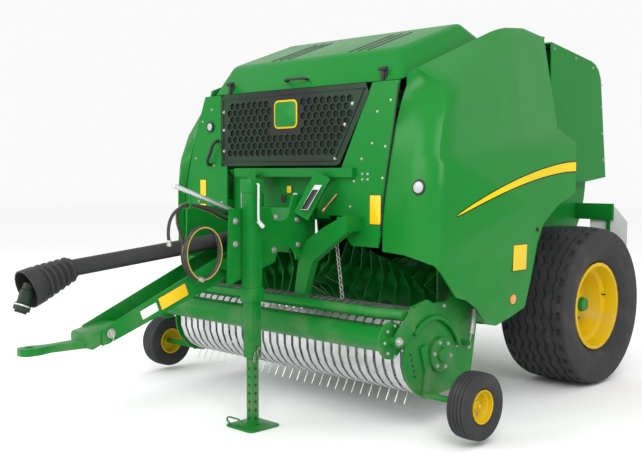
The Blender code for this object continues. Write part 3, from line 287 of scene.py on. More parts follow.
@dataclass(frozen=True)
class Paint:
    """A sprayed coat with slight orange peel, and dust that gathers low down."""

    name: str
    colour: Colour
    rough: float = 0.32
    dust: float = 0.25
    metallic: float = 0.0
    coat: float = 0.06
    gleam: float = 0.14
    shade: Colour = (0.002, 0.15, 0.020)
    scuff: Colour = (0.30, 0.42, 0.28)
    dirt: Colour = (0.30, 0.27, 0.20)
    dirt_low: float = 0.15
    dirt_high: float = 1.3

    def dressed(self, tree: Tree, colour: Any) -> Any:
        """The coat's colour with its wear on it.

        Args:
            tree: The material.
            colour: The plain colour.

        Returns:
            The worn colour.
        """
        low_down = 1.0 - tree.step(tree.xyz()[2], self.dirt_low, self.dirt_high)
        grime = tree.step(tree.noise(6.0, 6.0), 0.42, 0.75) * low_down
        cloud = tree.step(tree.noise(1.4, 3.0), 0.35, 0.7) * 0.22
        scuff = tree.step(tree.noise(40.0, 5.0, (1.0, 0.25, 1.0)), 0.68, 0.76) * 0.05
        worn = tree.mix(scuff, tree.mix(cloud, colour, self.shade), self.scuff)
        return tree.mix(grime * self.dust, worn, self.dirt)

    def base(self, tree: Tree) -> Any:
        """The plain colour under the wear."""
        return self.colour

    def build(self) -> bpy.types.Material:
        """Makes the material.

        Returns:
            The material.
        """
        tree = Tree(self.name)
        rough = self.rough + tree.noise(11.0, 4.0) * 0.16 - 0.05
        tree.set(Base_Color=self.dressed(tree, self.base(tree)), Roughness=rough,
                 Metallic=self.metallic, Coat_Weight=self.coat, Coat_Roughness=0.15,
                 Specular_IOR_Level=self.gleam)
        tree.bump(tree.noise(260.0, 2.0) * 0.4 + tree.noise(5.0, 2.0), 0.10, 0.0012)
        return tree.material


@dataclass(frozen=True)
class CoverPaint(Paint):
    """The covers' coat, with a rising yellow stripe edged in black on their outer face."""

    tip_y: float = 0.0
    tail_y: float = 1.0
    tip_z: float = 1.215
    tail_z: float = 1.490
    face_x: float = 1.179
    half_tip: float = 0.001
    half_gain: float = 0.031
    edge: float = 0.004
    soft: float = 0.002
    edging: Colour = (0.012, 0.012, 0.012)
    stripe: Colour = (0.80, 0.56, 0.0)

    def base(self, tree: Tree) -> Any:
        """The coat's colour with the stripe over it.

        Args:
            tree: The material.

        Returns:
            The striped colour.
        """
        x, y, z = tree.xyz()
        along = ((y - self.tip_y) / (self.tail_y - self.tip_y)).at_least(0.0).at_most(1.0)
        middle = self.tip_z + (1.0 - (1.0 - along) ** 1.6) * (self.tail_z - self.tip_z)
        over = abs(z - middle) - (self.half_tip + self.half_gain * along ** 0.45)
        begun = tree.step(y, self.tip_y - self.edge, self.tip_y + self.soft)
        inside = begun * abs(x).above(self.face_x)
        black = (1.0 - tree.step(over, self.edge, self.edge + self.soft)) * inside
        gold = (1.0 - tree.step(over, -self.edge, self.soft - self.edge)) * inside
        return tree.mix(gold, tree.mix(black, self.colour, self.edging), self.stripe)


@dataclass(frozen=True)
class Rubber:
    """Tyre or moulded rubber with patches of dust."""

    name: str
    colour: Colour = (0.022, 0.023, 0.025)
    rough: float = 0.72
    grain: float = 0.5
    dusty: Colour = (0.085, 0.080, 0.070)
    deep: Colour = (0.012, 0.012, 0.014)

    def build(self) -> bpy.types.Material:
        """Makes the material.

        Returns:
            The material.
        """
        tree = Tree(self.name)
        dust = tree.step(tree.noise(8.0, 6.0), 0.45, 0.8) * 0.35
        colour = tree.mix(dust, self.colour, self.dusty)
        tree.set(Base_Color=tree.mix(tree.noise(2.0) * 0.3, colour, self.deep),
                 Roughness=self.rough + tree.noise(30.0, 3.0) * 0.15)
        tree.bump(tree.noise(180.0, 4.0), self.grain, 0.0012)
        return tree.material


@dataclass(frozen=True)
class Metal:
    """Bare, plated or galvanised metal with drawn marks and light tarnish."""

    name: str
    colour: Colour = (0.55, 0.56, 0.56)
    rough: float = 0.34
    stretch: Point = (1.0, 1.0, 1.0)
    dulled: float = 0.62
    rust: Colour = (0.20, 0.14, 0.09)

    def build(self) -> bpy.types.Material:
        """Makes the material.

        Returns:
            The material.
        """
        tree = Tree(self.name)
        cloud = tree.step(tree.noise(14.0, 5.0), 0.4, 0.7)
        colour = tree.mix(cloud * 0.35, self.colour, tuple(self.dulled * c for c in self.colour))
        stain = tree.step(tree.noise(5.0, 7.0), 0.62, 0.8) * 0.3
        tree.set(Base_Color=tree.mix(stain, colour, self.rust), Metallic=0.9,
                 Roughness=self.rough + cloud * 0.14)
        tree.bump(tree.noise(120.0, 3.0, self.stretch), 0.14, 0.0008)
        return tree.material


@dataclass(frozen=True)
class Plastic:
    """Moulded plastic with a fine grain and dust."""

    name: str
    colour: Colour
    rough: float = 0.5
    grain: float = 0.25

    def build(self) -> bpy.types.Material:
        """Makes the material.

        Returns:
            The material.
        """
        tree = Tree(self.name)
        dust = tree.step(tree.noise(7.0, 5.0), 0.5, 0.8) * 0.2
        dusty = tuple(0.6 * c + 0.05 for c in self.colour)
        tree.set(Base_Color=tree.mix(dust, self.colour, dusty),
                 Roughness=self.rough + tree.noise(25.0, 2.0) * 0.12)
        tree.bump(tree.noise(320.0, 2.0), self.grain, 0.0006)
        return tree.material


@dataclass(frozen=True)
class StripedHose:
    """A hose's jacket: dull yellow lines on black along its run.

    The coil's numbers are its place behind the axle, its height and its two radii.
    """

    name: str
    ground: Colour = (0.46, 0.36, 0.06)
    band: Colour = (0.02, 0.02, 0.02)
    coil: tuple[float, float, float, float] = (-2.635, 1.005, 0.125, 0.145)
    lead_x: float = 0.122

    def build(self) -> bpy.types.Material:
        """Makes the material.

        Returns:
            The material.
        """
        tree = Tree(self.name)
        x, y, z = tree.xyz()
        rel, height, r_y, r_z = self.coil
        ring = (((y - AXLE - rel) / r_y) ** 2.0 + ((z - height) / r_z) ** 2.0) ** 0.5
        on_coil = 1.0 - tree.step(abs(ring - 1.0), 0.026, 0.034)
        on_lead = 1.0 - tree.step(abs(x - self.lead_x), 0.003, 0.004)
        worn = tree.noise(30.0, 4.0)
        line = on_coil.at_least(on_lead) * (0.7 + worn * 0.3)
        tree.set(Base_Color=tree.mix(line, self.band, self.ground), Roughness=0.45 + worn * 0.15)
        tree.bump(tree.noise(260.0, 2.0), 0.2, 0.0005)
        return tree.material


@dataclass(frozen=True)
class Lens:
    """A moulded lamp lens with fine flutes and a faint bloom."""

    name: str
    colour: Colour
    flutes: float = 700.0

    def build(self) -> bpy.types.Material:
        """Makes the material.

        Returns:
            The material.
        """
        tree = Tree(self.name)
        x, _, z = tree.xyz()
        wave = tree.node("ShaderNodeMath", {"operation": "SINE"}, {0: (x + z) * self.flutes})
        bloom = tuple(0.7 * c for c in self.colour)
        tree.set(Base_Color=tree.mix(tree.noise(30.0) * 0.2, self.colour, bloom),
                 Roughness=0.08 + tree.noise(20.0) * 0.08, Coat_Weight=0.6)
        tree.bump(wave.outputs[0], 0.25, 0.0008)
        return tree.material


class Finish(Enum):
    """Every finish of the machine."""

    GREEN = Paint("green_coat", (0.005, 0.185, 0.022))
    COVER = CoverPaint("cover_coat", (0.008, 0.190, 0.022), 0.28, 0.10, 0.0, 0.09,
                       tip_y=AXLE - 1.691, tail_y=AXLE - 0.43)
    YELLOW = Paint("yellow_coat", (0.66, 0.42, 0.0), 0.32, 0.2)
    DARK = Paint("dark_coat", (0.020, 0.021, 0.022), 0.42, 0.2, 0.0, 0.1)
    GRILLE = Paint("grille_coat", (0.010, 0.010, 0.011), 0.36, 0.1, 0.0, 0.3)
    # Painted shade: a near-black sheet seen through the grille's holes stands for the dark inside
    # them.
    SHADE = Plastic("shaded_mesh", (0.004, 0.012, 0.006), 0.8, 0.1)
    TYRE = Rubber("tyre_rubber")
    SEAL = Rubber("seal_rubber", (0.015, 0.015, 0.016), 0.6, 0.2)
    STEEL = Metal("galvanised_steel", (0.66, 0.67, 0.67), 0.36, (1.0, 0.2, 1.0))
    CHROME = Metal("plated_steel", (0.34, 0.34, 0.33), 0.28)
    BOLT = Metal("zinc_bolts", (0.50, 0.50, 0.48), 0.38)
    BRASS = Metal("copper_lever", (0.55, 0.25, 0.14), 0.35)
    BLACK = Plastic("black_plastic", (0.016, 0.016, 0.017))
    GREY = Plastic("grey_plastic", (0.58, 0.60, 0.60), 0.45)
    WHITE = Plastic("white_plate", (0.80, 0.80, 0.78), 0.35, 0.1)
    LABEL = Plastic("yellow_label", (0.78, 0.52, 0.0), 0.35, 0.1)
    PLAIN_HOSE = Rubber("black_hose", (0.02, 0.02, 0.021), 0.5, 0.2)
    STRIPED_HOSE = StripedHose("striped_hose")
    CLEAR = Lens("clear_lens", (0.42, 0.44, 0.45))
    AMBER = Lens("amber_lens", (0.85, 0.25, 0.02))
    RED = Lens("red_lens", (0.65, 0.02, 0.02))


RECORD_SLOTS: dict[Finish, str] = {
    Finish.GREEN: "green_paint", Finish.COVER: "green_paint", Finish.YELLOW: "yellow_paint",
    Finish.DARK: "dark_paint", Finish.GRILLE: "grille_metal", Finish.TYRE: "tyre_rubber",
    Finish.STEEL: "bright_steel", Finish.CHROME: "bright_steel", Finish.BOLT: "bright_steel",
    Finish.BLACK: "black_plastic", Finish.SEAL: "black_plastic", Finish.GREY: "grey_plastic",
    Finish.PLAIN_HOSE: "hose_rubber", Finish.STRIPED_HOSE: "hose_rubber"}


class Wardrobe:
    """Builds each finish once and hands it out."""

    def __init__(self) -> None:
        """Starts with nothing built."""
        self.made: dict[Finish, bpy.types.Material] = {}

    def get(self, finish: Finish) -> bpy.types.Material:
        """A finish's material.

        Args:
            finish: The finish.

        Returns:
            The material.
        """
        if finish not in self.made:
            self.made[finish] = finish.value.build()
        return self.made[finish]


WARDROBE = Wardrobe()


# ---------------------------------------------------------------- modelling


def only(obj: Any) -> Any:
    """Deselects everything, then selects one object and makes it active.

    Args:
        obj: The object.

    Returns:
        The object.
    """
    bpy.ops.object.select_all(action="DESELECT")
    obj.select_set(True)
    bpy.context.view_layer.objects.active = obj
    return obj


def settled(obj: Any, name: str) -> Any:
    """Names an object and moves its place into its mesh.

    Args:
        obj: The object.
        name: Its name.

    Returns:
        The object.
    """
    only(obj)
    obj.name = obj.data.name = name
    bpy.ops.object.transform_apply(location=True, rotation=True, scale=True)
    return obj


def eased(obj: Any, width: float, segments: int = 2, angle: float = 35.0) -> Any:
    """Rounds an object's sharp edges.

    Args:
        obj: The object.
        width: The rounding's width.
        segments: Its steps.
        angle: The angle in degrees over which an edge is sharp.

    Returns:
        The object.
    """
    only(obj)
    mod = obj.modifiers.new("ease", "BEVEL")
    mod.width, mod.segments = width, segments
    mod.limit_method, mod.angle_limit = "ANGLE", math.radians(angle)
    bpy.ops.object.modifier_apply(modifier=mod.name)
    return obj


def block(name: str, low: Point, high: Point, ease: float = 0.003) -> Any:
    """A block between two corners with eased edges.

    Args:
        name: Its name.
        low: One corner.
        high: The corner across.
        ease: The rounding of its edges.

    Returns:
        The block.
    """
    bpy.ops.object.select_all(action="DESELECT")
    size = [abs(b - a) for a, b in zip(low, high)]
    middle = [(a + b) / 2 for a, b in zip(low, high)]
    bpy.ops.mesh.primitive_cube_add(size=1.0, location=middle, scale=size)
    obj = settled(bpy.context.active_object, name)
    return eased(obj, min(ease, min(size) * 0.3))


def round_bar(name: str, a: Any, b: Any, r: float, sides: int = 24, ease: float = 0.002,
              r_end: float | None = None) -> Any:
    """A round bar or a cone with eased ends.

    Args:
        name: Its name.
        a: Its start.
        b: Its end.
        r: Its radius.
        sides: Its sides.
        ease: The rounding of its ends.
        r_end: Its radius at the end, where that differs.

    Returns:
        The bar.
    """
    bpy.ops.object.select_all(action="DESELECT")
    run = Vector(b) - Vector(a)
    bpy.ops.mesh.primitive_cone_add(
        vertices=sides, radius1=r, radius2=r if r_end is None else r_end, depth=run.length,
        location=(Vector(a) + Vector(b)) / 2, rotation=run.to_track_quat("Z", "X").to_euler())
    return eased(settled(bpy.context.active_object, name), ease, 2, 50.0)


def hoop(name: str, centre: Any, axis: Any, r: float, thick: float, sides: int = 32) -> Any:
    """A ring of round bar about an axis.

    Args:
        name: Its name.
        centre: Its middle.
        axis: Its axis.
        r: The radius of its bar's middle line.
        thick: The radius of its bar.
        sides: Its steps round the axis.

    Returns:
        The ring.
    """
    bpy.ops.object.select_all(action="DESELECT")
    bpy.ops.mesh.primitive_torus_add(
        major_radius=r, minor_radius=thick, major_segments=sides, minor_segments=10,
        location=centre, rotation=Vector(axis).to_track_quat("Z", "X").to_euler())
    return settled(bpy.context.active_object, name)


def sheet_piece(name: str, edge: Sequence[Any], out: Any, ease: float = 0.001) -> Any:
    """A flat piece drawn by its edge and extruded.

    Args:
        name: Its name.
        edge: The points of its edge.
        out: The vector that it is extruded by.
        ease: The rounding of its edges.

    Returns:
        The piece.
    """
    bpy.ops.object.select_all(action="DESELECT")
    bpy.ops.mesh.primitive_circle_add(
        vertices=len(edge), radius=1.0, fill_type="NGON", location=(0, 0, 0))
    obj = only(bpy.context.active_object)
    obj.name = obj.data.name = name
    for vertex, place in zip(obj.data.vertices, edge):
        vertex.co = place
    bpy.ops.object.mode_set(mode="EDIT")
    bpy.ops.mesh.select_all(action="SELECT")
    bpy.ops.mesh.extrude_region_move(TRANSFORM_OT_translate={"value": tuple(out)})
    bpy.ops.mesh.select_all(action="SELECT")
    bpy.ops.mesh.normals_make_consistent(inside=False)
    bpy.ops.object.mode_set(mode="OBJECT")
    return eased(obj, min(ease, 0.3 * Vector(out).length))


def rounded(centre: Any, u: Any, v: Any, w: float, h: float, r: float,
            steps: int = 4) -> list[Point]:
    """The edge of a rectangle with round corners.

    Args:
        centre: Its middle.
        u: The direction of its width.
        v: The direction of its height.
        w: Its width.
        h: Its height.
        r: The radius of its corners.
        steps: The number of steps in a corner.

    Returns:
        The points in order.
    """
    u, v, made = Vector(u).normalized(), Vector(v).normalized(), []
    for cx, cy, start in ((1, 1, 0), (-1, 1, 90), (-1, -1, 180), (1, -1, 270)):
        for k in range(steps + 1):
            a = math.radians(start + 90 * k / steps)
            made.append(tuple(Vector(centre) + u * (cx * (w / 2 - r) + r * math.cos(a))
                              + v * (cy * (h / 2 - r) + r * math.sin(a))))
    return made


def bent(name: str, points: Sequence[Any], r: float, smooth: bool = True, rings: int = 4,
         steps: int = 6) -> Any:
    """A bent round bar or hose, as a curve.

    Args:
        name: Its name.
        points: The points that its middle line goes through.
        r: Its radius.
        smooth: Whether it bends smoothly at the points.
        rings: Its fineness round the middle line.
        steps: Its fineness along the middle line.

    Returns:
        The curve's object.
    """
    curve = bpy.data.curves.new(name, "CURVE")
    curve.dimensions, curve.bevel_depth, curve.bevel_resolution = "3D", r, rings
    curve.use_fill_caps, curve.resolution_u = True, steps
    spline = curve.splines.new("BEZIER")
    spline.bezier_points.add(len(points) - 1)
    for knot, place in zip(spline.bezier_points, points):
        knot.co = place
        knot.handle_left_type = knot.handle_right_type = "AUTO" if smooth else "VECTOR"
    obj = bpy.data.objects.new(name, curve)
    bpy.context.scene.collection.objects.link(obj)
    return obj


def pipe(name: str, points: Sequence[Any], r: float, smooth: bool = True) -> Any:
    """A bent round bar made a mesh."""
    only(bent(name, points, r, smooth))
    bpy.ops.object.convert(target="MESH")
    return bpy.context.active_object


def repeated(name: str, pattern: Any, shifts: Sequence[Any]) -> Any:
    """Copies of a pattern, each with its own mesh, joined into one piece.

    Args:
        name: The joined piece's name.
        pattern: The piece modelled once, which is used up.
        shifts: A vector or a matrix for each copy.

    Returns:
        The joined piece.
    """
    made = []
    for shift in shifts:
        copy = pattern.copy()
        copy.data = pattern.data.copy()
        bpy.context.scene.collection.objects.link(copy)
        copy.data.transform(shift if isinstance(shift, Matrix) else Matrix.Translation(shift))
        made.append(copy)
    bpy.data.objects.remove(pattern)
    return joined(name, made)


def round_x(y: float, z: float, count: int, start: float = 0.0) -> list[Matrix]:
    """Equal turns about a line along X.

    Args:
        y: The line's Y.
        z: The line's Z.
        count: The number of turns in a full round.
        start: The first turn, in degrees.

    Returns:
        A matrix for each turn.
    """
    there, back = Matrix.Translation((0, y, z)), Matrix.Translation((0, -y, -z))
    return [there @ Matrix.Rotation(math.radians(start + 360 * i / count), 4, "X") @ back
            for i in range(count)]


def joined(name: str, pieces: Sequence[Any]) -> Any:
    """Several pieces made one.

    Args:
        name: The joined piece's name.
        pieces: The pieces, of which the first takes in the others.

    Returns:
        The joined piece.
    """
    only(pieces[0])
    for other in pieces[1:]:
        other.select_set(True)
    bpy.ops.object.join()
    pieces[0].name = pieces[0].data.name = name
    return pieces[0]


def dressed(obj: Any, finish: Finish, body: str, smooth: float = 35.0) -> Any:
    """Gives a new piece its finish, its shading and the body it rides on.

    Args:
        obj: The piece.
        finish: Its finish.
        body: The body it rides on.
        smooth: The angle in degrees up to which it is shaded smooth.

    Returns:
        The piece.
    """
    obj.data.materials.clear()
    obj.data.materials.append(WARDROBE.get(finish))
    only(obj)
    bpy.ops.object.shade_smooth_by_angle(angle=math.radians(smooth))
    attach(obj, body)
    finish in RECORD_SLOTS
    LOG.info("piece %s on %s", obj.name, body)
    return obj


def skin(node: str, finish: Finish, smooth: float = 40.0, ease: float = 0.0) -> Any:
    """A merged, smooth copy of a frame part that stands for it.

    Args:
        node: The frame part's name.
        finish: The skin's finish.
        smooth: The angle in degrees up to which it is shaded smooth.
        ease: The rounding of its sharp edges, or 0.

    Returns:
        The skin.
    """
    source = frame["nodes"][node]
    obj = bpy.data.objects.new(node + "_skin", source.data.copy())
    bpy.context.scene.collection.objects.link(obj)
    only(obj)
    if obj.data.has_custom_normals:
        bpy.ops.mesh.customdata_custom_splitnormals_clear()
    bpy.ops.object.mode_set(mode="EDIT")
    bpy.ops.mesh.select_all(action="SELECT")
    bpy.ops.mesh.remove_doubles(threshold=WELD)
    bpy.ops.mesh.dissolve_limited(angle_limit=math.radians(1.0))
    bpy.ops.object.mode_set(mode="OBJECT")
    if ease:
        eased(obj, ease, 2, 40.0)
    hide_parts(node)
    return dressed(obj, finish, source["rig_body"], smooth)


def bolt(name: str, centre: Any, axis: Any, size: float) -> Any:
    """A six-sided bolt head on a washer.

    Args:
        name: Its name.
        centre: Its place on the surface.
        axis: The way it stands out.
        size: The head's width.

    Returns:
        The bolt.
    """
    out, at = Vector(axis).normalized(), Vector(centre)
    washer = round_bar("washer", at - out * 0.001, at + out * 0.15 * size, 0.75 * size, 16, 0.0006)
    head = round_bar("head", at + out * 0.1 * size, at + out * 0.6 * size, 0.52 * size, 6, 0.0008)
    return joined(name, [washer, head])


def landed(node: str, start: Point, way: Point) -> tuple[Vector, Vector]:
    """Where a straight look meets a frame part.

    Args:
        node: The frame part's name.
        start: Where the look starts.
        way: The way it goes.

    Returns:
        The place on the surface and the surface's outward direction there.
    """
    mesh = frame["nodes"][node].data
    corners = [vertex.co for vertex in mesh.vertices]
    faces = BVHTree.FromPolygons(corners, [list(face.vertices) for face in mesh.polygons])
    place, normal, _, _ = faces.ray_cast(Vector(start), Vector(way))
    if place is None:
        raise ValueError(f"nothing of {node} is met from {start}")
    return place, normal


# ---------------------------------------------------------------- camera, stage and cords


@dataclass
class Stage:
    """The camera, the floor and the lights.

    Each light has a name, a place, a size and a power.
    """

    eye: Point = (4.21, -5.82, 1.46)
    turn: float = 44.59
    dip: float = 3.684
    lens: float = 52.01
    sensor: float = 36.0
    floor_size: float = 60.0
    floor_light: Colour = (0.97, 0.97, 0.97)
    floor_dark: Colour = (0.93, 0.93, 0.93)
    sky: float = 0.95
    aim: Point = (0, 0, 1.0)
    lamps: tuple[tuple[str, Point, float, float], ...] = (
        ("key", (6.5, -5.5, 7.0), 5.0, 480.0), ("front", (-3.5, -8.0, 5.0), 5.0, 300.0),
        ("back", (-5.0, 6.0, 6.0), 6.0, 120.0))

    def camera(self) -> None:
        """Makes the camera."""
        camera = bpy.data.cameras.new("view")
        camera.lens, camera.sensor_width = self.lens, self.sensor
        obj = bpy.data.objects.new("view", camera)
        bpy.context.scene.collection.objects.link(obj)
        obj.location = (self.eye[0], AXLE + self.eye[1], self.eye[2])
        obj.rotation_euler = (math.radians(90 - self.dip), 0, math.radians(self.turn))
        bpy.context.scene.camera = obj

    def floor(self) -> None:
        """Makes the pale floor."""
        bpy.ops.object.select_all(action="DESELECT")
        bpy.ops.mesh.primitive_plane_add(size=self.floor_size, location=(0, 0, 0))
        floor = bpy.context.active_object
        floor.name = "floor"
        tree = Tree("pale_floor")
        colour = tree.mix(tree.noise(0.8, 3.0) * 0.2, self.floor_light, self.floor_dark)
        tree.set(Base_Color=colour, Roughness=0.95)
        floor.data.materials.append(tree.material)

    def lights(self) -> None:
        """Makes the sky and the area lights."""
        world = bpy.data.worlds.new("studio")
        world.use_nodes = True
        sky = world.node_tree.nodes["Background"]
        sky.inputs[0].default_value = (1.0, 1.0, 1.0, 1.0)
        sky.inputs[1].default_value = self.sky
        bpy.context.scene.world = world
        bpy.context.scene.view_settings.view_transform = "Standard"
        for name, place, size, power in self.lamps:
            light = bpy.data.lights.new(name, "AREA")
            light.size, light.energy = size, power
            lamp = bpy.data.objects.new(name, light)
            bpy.context.scene.collection.objects.link(lamp)
            lamp.location = place
            lamp.visible_glossy = name != "back"
            aim = Vector(self.aim) - Vector(place)
            lamp.rotation_euler = aim.to_track_quat("-Z", "Y").to_euler()

    def build(self) -> None:
        """Makes the camera, the floor and the lights."""
        self.camera()
        self.floor()
        self.lights()


@dataclass
class Hoses:
    """The two hoses that leave the block by the stand and hang over the hook."""

    radius: float = 0.009
    plain_x: float = 0.155
    striped_x: float = 0.122
    outlet_gap: float = 0.0012
    hook_y: float = -2.74
    rest_z: float = 1.262 + 0.005 + 0.009 + 0.0018
    coil_y: float = -2.635
    coil_z: float = 1.005
    coil_radii: tuple[float, float] = (0.125, 0.145)
    coil_start: float = 158.0
    coil_lean: tuple[float, float] = (0.006, 0.020)
    turns: int = 2
    knots: int = 14
    tail_knots: int = 5

    def plain_route(self) -> list[Point]:
        """The plain hose's route.

        Returns:
            Its points from the block to its free end.
        """
        low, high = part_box("valve_block")
        x, y, z = self.plain_x, low[1] - self.outlet_gap, high[2] - 0.022
        hook, rest = y_at(self.hook_y), self.rest_z
        return [(x, y, z), (x, y - 0.05, z), (x, y - 0.16, z + 0.032),
                (x, hook + 0.060, rest - 0.006), (x, hook, rest), (x, hook - 0.055, rest - 0.018),
                (x, hook - 0.105, rest - 0.060), (x, hook - 0.128, rest - 0.125),
                (x, hook - 0.124, rest - 0.215)]

    def striped_route(self) -> list[Point]:
        """The striped hose's route.

        Returns:
            Its points from the block into its coil.
        """
        low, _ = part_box("valve_block")
        x, y, z = self.striped_x, low[1] - self.outlet_gap, low[2] + 0.020
        hook, rest = y_at(self.hook_y), self.rest_z
        route = [(x, y, z), (x, y - 0.05, z), (x, y - 0.16, z + 0.045),
                 (x, hook + 0.060, rest - 0.006), (x, hook, rest), (x, hook - 0.036, rest - 0.026),
                 (x, hook - 0.048, rest - 0.068)]
        (r_y, r_z), (lean, step) = self.coil_radii, self.coil_lean
        for i in range(self.turns * self.knots + self.tail_knots):
            angle = math.radians(self.coil_start + 360 * i / self.knots)
            route.append((x + lean + step * i / self.knots,
                          y_at(self.coil_y) + r_y * math.cos(angle),
                          self.coil_z + r_z * math.sin(angle)))
        return route

    def cord(self, name: str, route: list[Point], finish: Finish, node: str) -> None:
        """Args:
            name: The hose's name.
            route: The points it goes through.
            finish: Its finish.
            node: The frame part it stands for.
        """
        obj = bent(name, route, self.radius, rings=5, steps=5)
        obj.data.materials.append(WARDROBE.get(finish))
        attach(obj, "chassis")
        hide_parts(node)
        end, before = Vector(route[-1]), Vector(route[-2])
        out = (end - before).normalized()
        tip, r = end + out * 0.004, self.radius
        plug = joined(name + "_coupling", [
            round_bar("sleeve", end - out * 0.030, tip, r * 1.35, 20, 0.0015),
            round_bar("nut", end - out * 0.010, tip, r * 1.7, 6, 0.001)])
        dressed(plug, Finish.BOLT, "chassis")

    def build(self) -> None:
        """Makes both hoses."""
        self.cord("plain_hose", self.plain_route(), Finish.PLAIN_HOSE, "hose_plain")
        self.cord("striped_hose_coil", self.striped_route(), Finish.STRIPED_HOSE, "hose_striped")


# ---------------------------------------------------------------- wheels


@dataclass(frozen=True)
class WheelSizes:
    """The sizes in which the main wheels and the gauge wheels differ.

    The grooves are shares of the tyre's width and the ring of nuts is a share of the rim's radius.
    """

    rim_r: float
    rim_ease: float
    columns: int
    rows: int
    waves: int
    grooves: tuple[float, ...]
    sway: float
    half_groove: float
    depth: float
    nuts: int
    nut_ring: float
    nut: float
    cap_depth: float
    cap: Finish


MAIN_WHEEL = WheelSizes(
    rim_r=0.298, rim_ease=0.002, columns=240, rows=84, waves=30,
    grooves=(-0.30, -0.18, -0.06, 0.06, 0.18, 0.30), sway=0.013, half_groove=0.0090, depth=0.018,
    nuts=8, nut_ring=0.50, nut=0.030, cap_depth=0.030, cap=Finish.GREEN)
GAUGE_WHEEL = WheelSizes(
    rim_r=0.0925, rim_ease=0.0, columns=72, rows=70, waves=1,
    grooves=(-0.27, -0.09, 0.09, 0.27), sway=0.0, half_groove=0.0032, depth=0.005,
    nuts=5, nut_ring=0.52, nut=0.012, cap_depth=0.012, cap=Finish.YELLOW)


@dataclass
class Tyre:
    """A tyre with its tread cut into it.

    Its section runs once round: the tread takes the first share, then come the two walls and the
    inside between their beads. Widths are shares of the tyre's width.
    """

    node: str
    body: str
    sizes: WheelSizes
    tread_share: float = 0.60
    half_tread: float = 0.42
    wall_share: float = 0.46
    crown_drop: float = 0.022
    shoulder_lug: float = 0.36
    lug_share: float = 0.30
    wall_ring: float = 0.0015
    wall_rings: float = 500.0

    def walls(self, r: float) -> list[tuple[float, float]]:
        """The wall's section from the shoulder to the bead.

        Args:
            r: The tyre's radius.

        Returns:
            Pairs of a share of the width and a radius.
        """
        rim = self.sizes.rim_r
        return [(0.42, 0.978 * r), (0.475, 0.955 * r), (0.485, 0.82 * r + 0.18 * rim),
                (0.50, rim + 0.55 * (r - rim)), (0.47, rim + 0.25 * (r - rim)), (0.36, 0.965 * rim)]

    def section(self, v: float, r: float, w: float) -> tuple[float, float, bool]:
        """A place on the tyre's section.

        Args:
            v: How far round the section it is, from 0 to 1.
            r: The tyre's radius.
            w: The tyre's width.

        Returns:
            Its place across, its radius, and whether it is on the tread.
        """
        if v < self.tread_share:
            t = 2.0 * v / self.tread_share - 1.0
            return self.half_tread * t * w, r - self.crown_drop * r * abs(t) ** 2.4, True
        half = self.walls(r)
        t = (v - self.tread_share) / (1.0 - self.tread_share)
        side = 1 if t < 0.5 else -1
        k = min(t, 1.0 - t) / self.wall_share * (len(half) - 1)
        if k > len(half) - 1:
            bead, inside = half[-1]
            return (0.5 - t) / (0.5 - self.wall_share) * bead * w, inside, False
        i = min(int(k), len(half) - 2)
        f = k - i
        across, radius = [half[i][n] * (1 - f) + half[i + 1][n] * f for n in (0, 1)]
        return side * w * across, radius, False

    def cut(self, x: float, u: float, w: float) -> tuple[float, float]:
        """The tread's pattern at a place.

        Args:
            x: The place across the tread.
            u: How far round the tyre it is, from 0 to 1.
            w: The tyre's width.

        Returns:
            Its sway across and how deep it is cut.
        """
        sizes = self.sizes
        phase = (u * sizes.waves) % 1.0
        groove = any(abs(x - g * w) < sizes.half_groove for g in sizes.grooves)
        lug = sizes.sway > 0 and abs(x) > self.shoulder_lug * w and phase < self.lug_share
        wave = sizes.sway * (4 * abs(phase - 0.5) - 1)
        fade = 1.0 - (abs(x) / (self.half_tread * w)) ** 4
        return wave * fade, sizes.depth if groove or lug else 0.0

    def build(self) -> None:
        """Rolls a grid into the tyre and cuts its grooves."""
        low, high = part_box(self.node)
        centre = middle_of(self.node)
        r, w = (high[2] - low[2]) / 2, high[0] - low[0]
        bpy.ops.object.select_all(action="DESELECT")
        bpy.ops.mesh.primitive_grid_add(
            x_subdivisions=self.sizes.columns, y_subdivisions=self.sizes.rows, size=2.0)
        obj = only(bpy.context.active_object)
        obj.name = obj.data.name = self.node + "_tread"
        for vertex in obj.data.vertices:
            u, v = (vertex.co.x + 1) / 2, (vertex.co.y + 1) / 2
            x, radius, tread = self.section(v % 1.0, r, w)
            if tread:
                shift, depth = self.cut(x, u, w)
                x, radius = x + shift, radius - depth
            elif radius > 0.60 * r:
                radius += self.wall_ring * math.sin(radius * self.wall_rings)
            a = 2 * math.pi * u
            vertex.co = centre + Vector((x, radius * math.cos(a), radius * math.sin(a)))
        bpy.ops.object.mode_set(mode="EDIT")
        bpy.ops.mesh.select_all(action="SELECT")
        bpy.ops.mesh.remove_doubles(threshold=WELD)
        bpy.ops.mesh.normals_make_consistent(inside=False)
        bpy.ops.object.mode_set(mode="OBJECT")
        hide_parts(self.node)
        dressed(obj, Finish.TYRE, self.body, 38.0)


